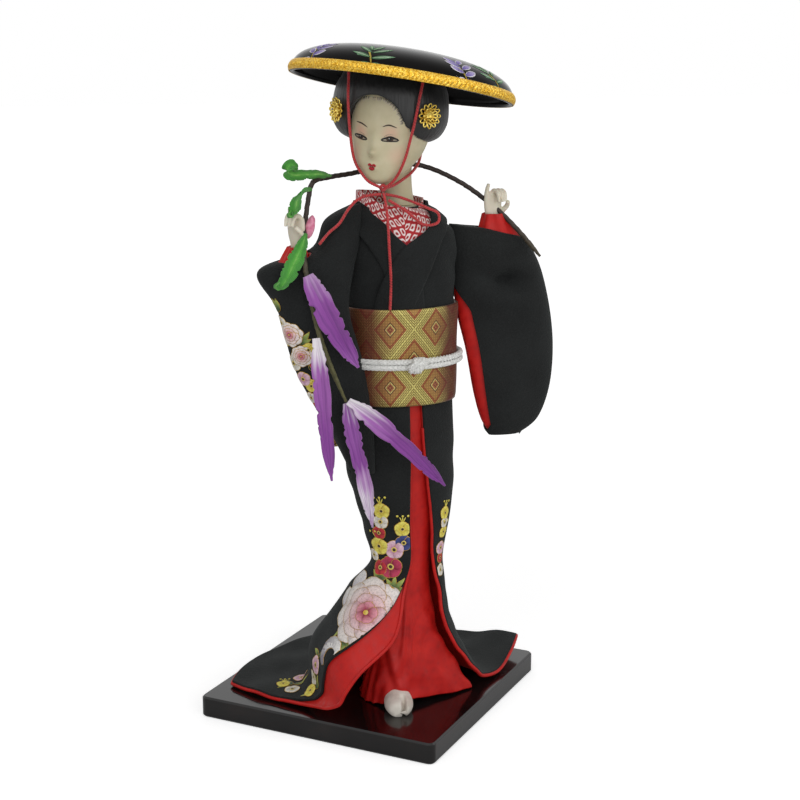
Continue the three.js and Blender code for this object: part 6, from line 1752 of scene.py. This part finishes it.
# Metallic gold braid: flat tinsel threads plaited over a core, so that each small facet glints by itself.
tinsel, tree, shader, spot = surface("gold tinsel braid", {"Metallic": 0.85})
flakes = add(tree, "TexVoronoi", {"Vector": spot, "Scale": 1 / 0.0004})
glint = add(tree, "SeparateXYZ", {"Vector": flakes.outputs["Color"]})
gold = add(
    tree, "ValToRGB", {"Fac": glint.outputs["X"]},
    stops=[(0.0, "a87a18"), (0.35, "dca827"), (0.9, "f2d060")])
satin = add(tree, "MapRange", {"Value": glint.outputs["Y"], "To Min": 0.25, "To Max": 0.6})
facet = add(tree, "Bump", {"Height": glint.outputs["Z"], "Strength": 0.7, "Distance": 0.0005})
feed(shader, {"Base Color": gold, "Roughness": satin, "Normal": facet})
fit(trim, tinsel, "head", "gold_braid", "hat_trim")


# Painted sprigs: wisteria and bamboo in lilac, white, green and yellow, brushed on the lacquer and set
# round the dome by turns.
SPRIGS = [
    ("wisteria", -74), ("bamboo", -37), ("wisteria", 12), ("bamboo", 36), ("wisteria", 85), ("bamboo", 125),
    ("wisteria", 165), ("bamboo", -155), ("wisteria", -118)]
SPRIG_LEVEL = 8.2


def on_dome(angle, down, lift):
    down = np.clip(down, 0.1, 1.5)
    reach = (HAT_R + lift) * np.sin(down) ** DOME_WIDE
    level = (HAT_HIGH + lift) * np.cos(down) ** DOME_HIGH
    return on_hat(np.stack(np.broadcast_arrays(reach * np.sin(angle), -reach * np.cos(angle), level), -1))


marks = []
for kind, degrees in SPRIGS:
    seed = (math.radians(degrees), math.acos((SPRIG_LEVEL / HAT_HIGH) ** (1 / DOME_HIGH)))
    here = on_dome(*seed, 0.0)
    right, down = on_dome(seed[0] + 0.01, seed[1], 0.0) - here, on_dome(seed[0], seed[1] + 0.01, 0.0) - here
    size = 0.75
    at = patch(
        on_dome, seed, here, size * right / np.linalg.norm(right), -size * down / np.linalg.norm(down))
    stroke(marks, at, 1.5, -4.5, 105, 10, 0.55, ("b09a2c", "e0cd60"), 0.12, 0.4, bend=22)
    if kind == "wisteria":
        for x, y, heading, long in (
                (0.8, -2.4, 28, 4.6), (0.6, -1.6, 150, 4.4), (0.4, 0, 38, 5.2), (0.2, 0.6, 142, 5.0),
                (-0.3, 2.4, 55, 4.6), (-0.5, 2.8, 125, 4.4), (1.2, -4, -15, 3.2), (1.0, -3.8, 195, 3.0)):
            stroke(marks, at, x, y, heading, long + 0.5, 2.3, ("f0edf4", "f0edf4"), 0.14, 0.6, 1.2)
            stroke(marks, at, x, y, heading, long, 1.6, ("6f5fae", "b9aade"), 0.18, 0.6, 1.2)
    else:
        for x, y, heading, long in (
                (0.6, -2, 20, 7.5), (0.4, -1.5, 160, 7), (0.2, 0.5, 42, 7), (0, 0.8, 138, 7.4),
                (-0.3, 2.5, 66, 5.5), (-0.5, 2.6, 112, 5), (1.2, -3.6, -8, 5), (0.8, -3.6, 190, 5.4)):
            stroke(marks, at, x, y, heading, long, 1.5, ("2e5a34", "7fae84"), 0.14, 0.9, 0.8)
            stroke(marks, at, x, y, heading, long * 0.9, 0.3, ("a8c89a", "d6e2cc"), 0.18, 0.6)
fit(printed("hat_sprigs", marks), pigment, "head", "hat_lacquer")


# Hat cord: a thin red twisted cord from inside the hat down both cheeks and along the jaw, tied under
# the chin. Its loose ends hang over the collar, and all are limp.
CORD_R = 0.65
TWIST = 2.4
TIED_CORDS = {
    "hat_cord_right": ("knot", [
        (-25.1, -7.6, 295.5), (-25.6, -8.6, 284), (-26.3, -10, 276.6), (-26.2, -10.2, 269.4),
        (-25.6, -10, 262), (-24.6, -9.8, 254), (-23.4, -10, 249), (-22.2, -13, 245.4), (-19.4, -15.8, 241.2),
        (-14.3, -17.1, 238.5)]),
    "hat_cord_left": ("knot", [
        (2.2, -24.2, 292.5), (1.6, -25.4, 284), (-0.6, -26.4, 275), (-2, -25, 266), (-3.8, -24, 258),
        (-5.4, -23.2, 251.5), (-7.4, -21.6, 245.6), (-9.6, -19, 241), (-12.2, -17.6, 238.7)]),
    "hat_cord_back": ("object", [
        (-12, -16.4, 238.2), (-7.5, -13.2, 238.8), (-2.6, -10.6, 240.8), (2.8, -7.6, 243.6),
        (7.6, -3.2, 247.6), (10.6, 1.8, 253), (11.6, 4, 260)])}
LOOSE_CORDS = {
    "cord_tail_front": ("object", "hanging", 2, [
        (-13.4, -17.6, 236.3), (-12.7, -19.2, 231), (-12.2, -20.4, 222), (-11.9, -20.9, 213),
        (-11.1, -19.9, 205), (-10.6, -19.2, 197), (-11, -19.1, 186.3)]),
    "cord_tail_shoulder": ("bare", "loose", 4, [
        (-14.4, -17.6, 235.8), (-19.9, -16.2, 235.2), (-24, -14.5, 233.4), (-27.6, -13.5, 229.5),
        (-31.5, -13, 223.6), (-36, -12.6, 219.8), (-40.5, -13, 215)]),
    "cord_loop_left": ("object", "loose", 3, [
        (-12.4, -17.7, 235.7), (-6, -17.6, 234.2), (1, -17, 231.6), (7, -17, 229), (11.4, -17.2, 226.8),
        (11, -17.8, 222.8), (4.4, -18.4, 222.4), (-4, -19, 228.6), (-11.8, -19.5, 233.4)])}


def cord_piece(name, route):
    """A two-strand twisted cord along a route, with the points that it follows and its length, in metres."""
    path = run_of(route, 160)
    long = np.linalg.norm(np.diff(path, axis=0), axis=1).sum()
    gone = np.linspace(0, long, 160)[:, None]
    angle = circuit(12)
    reach = CORD_R * (0.86 + 0.16 * np.abs(np.cos(angle - 2 * np.pi * gone / TWIST)))
    cut = np.stack(np.broadcast_arrays(np.linspace(0, 1, 13)[None, :] + gone / TWIST, gone * 0.001), -1)
    piece = loft(name, along_path(path, reach, 12), cut=cut)
    return piece, ((run_of(route, 30) + FIGURE) * 0.001).tolist(), long * 0.001


# Twisted rayon cord: deep red, mottled, with painted shade in the grooves between the two strands and painted light
# along them, besides its silky sheen.
red_cord, tree, shader, spot = surface("twisted red rayon", {"Roughness": 0.5, "Sheen Weight": 0.3})
spread = add(tree, "UVMap", uv_map="cut")
# Painted shade and highlight: the colour follows the twist, dark in the grooves and bright on the strands.
strand = add(tree, "TexWave", {"Vector": spread, "Scale": 2 / 3.14159}, bands_direction="X")
shade = add(tree, "TexNoise", {"Vector": spot, "Scale": 1 / 0.002, "Detail": 3.0})
groove_shade_mix = add(tree, "Math", [strand.outputs["Fac"], 0.4, shade], operation="MULTIPLY_ADD")
crimson = add(tree, "ValToRGB", {"Fac": groove_shade_mix}, stops=[(0.35, "7c0f14"), (0.6, "ac1a1e"), (0.95, "c4272a")])
feed(shader, {"Base Color": crimson})

KNOT = np.array([-13.4, -17.2, 238.4])
tie = np.linspace(0, 2 * np.pi, 48)
wraps = []
for lean, wide, high in ((0.3, 1.15, 1.0), (1.5, 1.2, 0.8), (2.6, 1.0, 1.1)):
    ring = np.stack([wide * np.cos(tie), 0.35 * np.sin(2 * tie), high * np.sin(tie)], -1)
    wraps.append(loft(f"wrap_{lean}", along_path(turned(ring, math.degrees(lean), "Y") + KNOT, 0.62, 10)))
cord_knot = merged("chin_knot", wraps, 0.22)
fit(cord_knot, red_cord, "head", "red_cord", "hat_cord_bow")
for name, (end, route) in TIED_CORDS.items():
    cord, path, long = cord_piece(f"{name}_twist", route)
    fit(cord, red_cord, "head", "red_cord", name)
    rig.cord(
        cord, exit=path[0], length=long, diameter=2 * CORD_R * 0.001, far_end=end, stiffness="limp",
        lay="taut", path=path, with_pieces=[cord_knot] if name == "hat_cord_right" else [])
for name, (end, lay, still, route) in LOOSE_CORDS.items():
    cord, path, long = cord_piece(f"{name}_twist", route)
    cord.data.materials.append(red_cord)
    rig.blend(
        cord, "figure", "head", (np.array(route[still]) + FIGURE) * 0.001,
        (np.array(route[0]) + FIGURE) * 0.001)
    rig.slot(cord, "red_cord")
    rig.replaces(cord, name)
    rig.cord(
        cord, exit=path[0], length=long, diameter=2 * CORD_R * 0.001, far_end=end, stiffness="limp",
        lay=lay, path=path)


# Studio: a pale floor under and behind the doll, and soft light from the front left, the front and the right.
# The floor turns white for the camera, less so near the doll, where it keeps the shadow.
FLOOR_HALF = 6.0
GLOW_NEAR, GLOW_FAR = 0.54, 0.7
ROOM_LIGHT = 0.36
floor_mesh = bpy.data.meshes.new("studio_floor")
floor_mesh.from_pydata(
    [(-FLOOR_HALF, -FLOOR_HALF, 0), (FLOOR_HALF, -FLOOR_HALF, 0), (FLOOR_HALF, FLOOR_HALF, 0),
     (-FLOOR_HALF, FLOOR_HALF, 0)], [], [(0, 1, 2, 3)])
floor = stand("studio_floor", floor_mesh)
paper, tree, shader, spot = surface(
    "white backdrop paper", {"Base Color": "f4f4f4", "Roughness": 0.9, "Emission Color": "ffffff"})
rays = add(tree, "LightPath").outputs
away = add(tree, "VectorMath", [spot], operation="LENGTH").outputs["Value"]
whiter = add(
    tree, "MapRange",
    {"Value": away, "From Min": 0.2, "From Max": 1.0, "To Min": GLOW_NEAR, "To Max": GLOW_FAR})
glow = add(tree, "Math", [rays["Is Camera Ray"], whiter], operation="MULTIPLY")
feed(shader, {"Emission Strength": glow})
floor_mesh.materials.append(paper)
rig.stage(floor)

world = bpy.data.worlds.new("studio")
world.use_nodes = True
bpy.context.scene.world = world
tree = world.node_tree
rays = add(tree, "LightPath").outputs
straight = add(tree, "Math", [rays["Is Camera Ray"], rays["Is Glossy Ray"]], operation="MAXIMUM")
through = add(tree, "Math", [straight, rays["Is Transmission Ray"]], operation="MAXIMUM")
room = add(tree, "MapRange", {"Value": through, "To Min": ROOM_LIGHT})
feed(tree.nodes["Background"], {"Color": "ffffff", "Strength": room})

# Three soft square lamps, each with its place, side and power in watts, turned to the middle of the doll.
LAMPS = [
    ("key", (-0.9, -1.1, 1.35), 1.1, 7.0), ("front", (0.1, -1.5, 0.55), 0.9, 5.0),
    ("fill", (1.2, -0.8, 0.8), 1.0, 3.0)]
LIT_POINT = (0, 0, 0.16)
for name, place, size, power in LAMPS:
    light = bpy.data.lights.new(name, "AREA")
    light.shape = "SQUARE"
    light.size = size
    light.energy = power
    lamp = stand(name, light)
    lamp.location = place
    aim = Vector(place) - Vector(LIT_POINT)
    lamp.rotation_euler = aim.to_track_quat("Z", "Y").to_euler()

# The camera, as fitted to the photograph.
CAMERA_AT = (-0.2237, -0.6880, 0.3143)
CAMERA_PITCH, CAMERA_HEADING = 76.87, -19.07
lens = bpy.data.cameras.new("camera")
lens.lens = 71.89
lens.sensor_width = 36.0
camera = stand("camera", lens)
camera.location = CAMERA_AT
camera.rotation_euler = (math.radians(CAMERA_PITCH), 0, math.radians(CAMERA_HEADING))
bpy.context.scene.camera = camera
bpy.context.scene.view_settings.view_transform = "Standard"

with open("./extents.json", "w") as held:
    json.dump({"cad": [list(corner) for corner in cad_box],
               "visual": [list(corner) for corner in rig.bounds()]}, held)
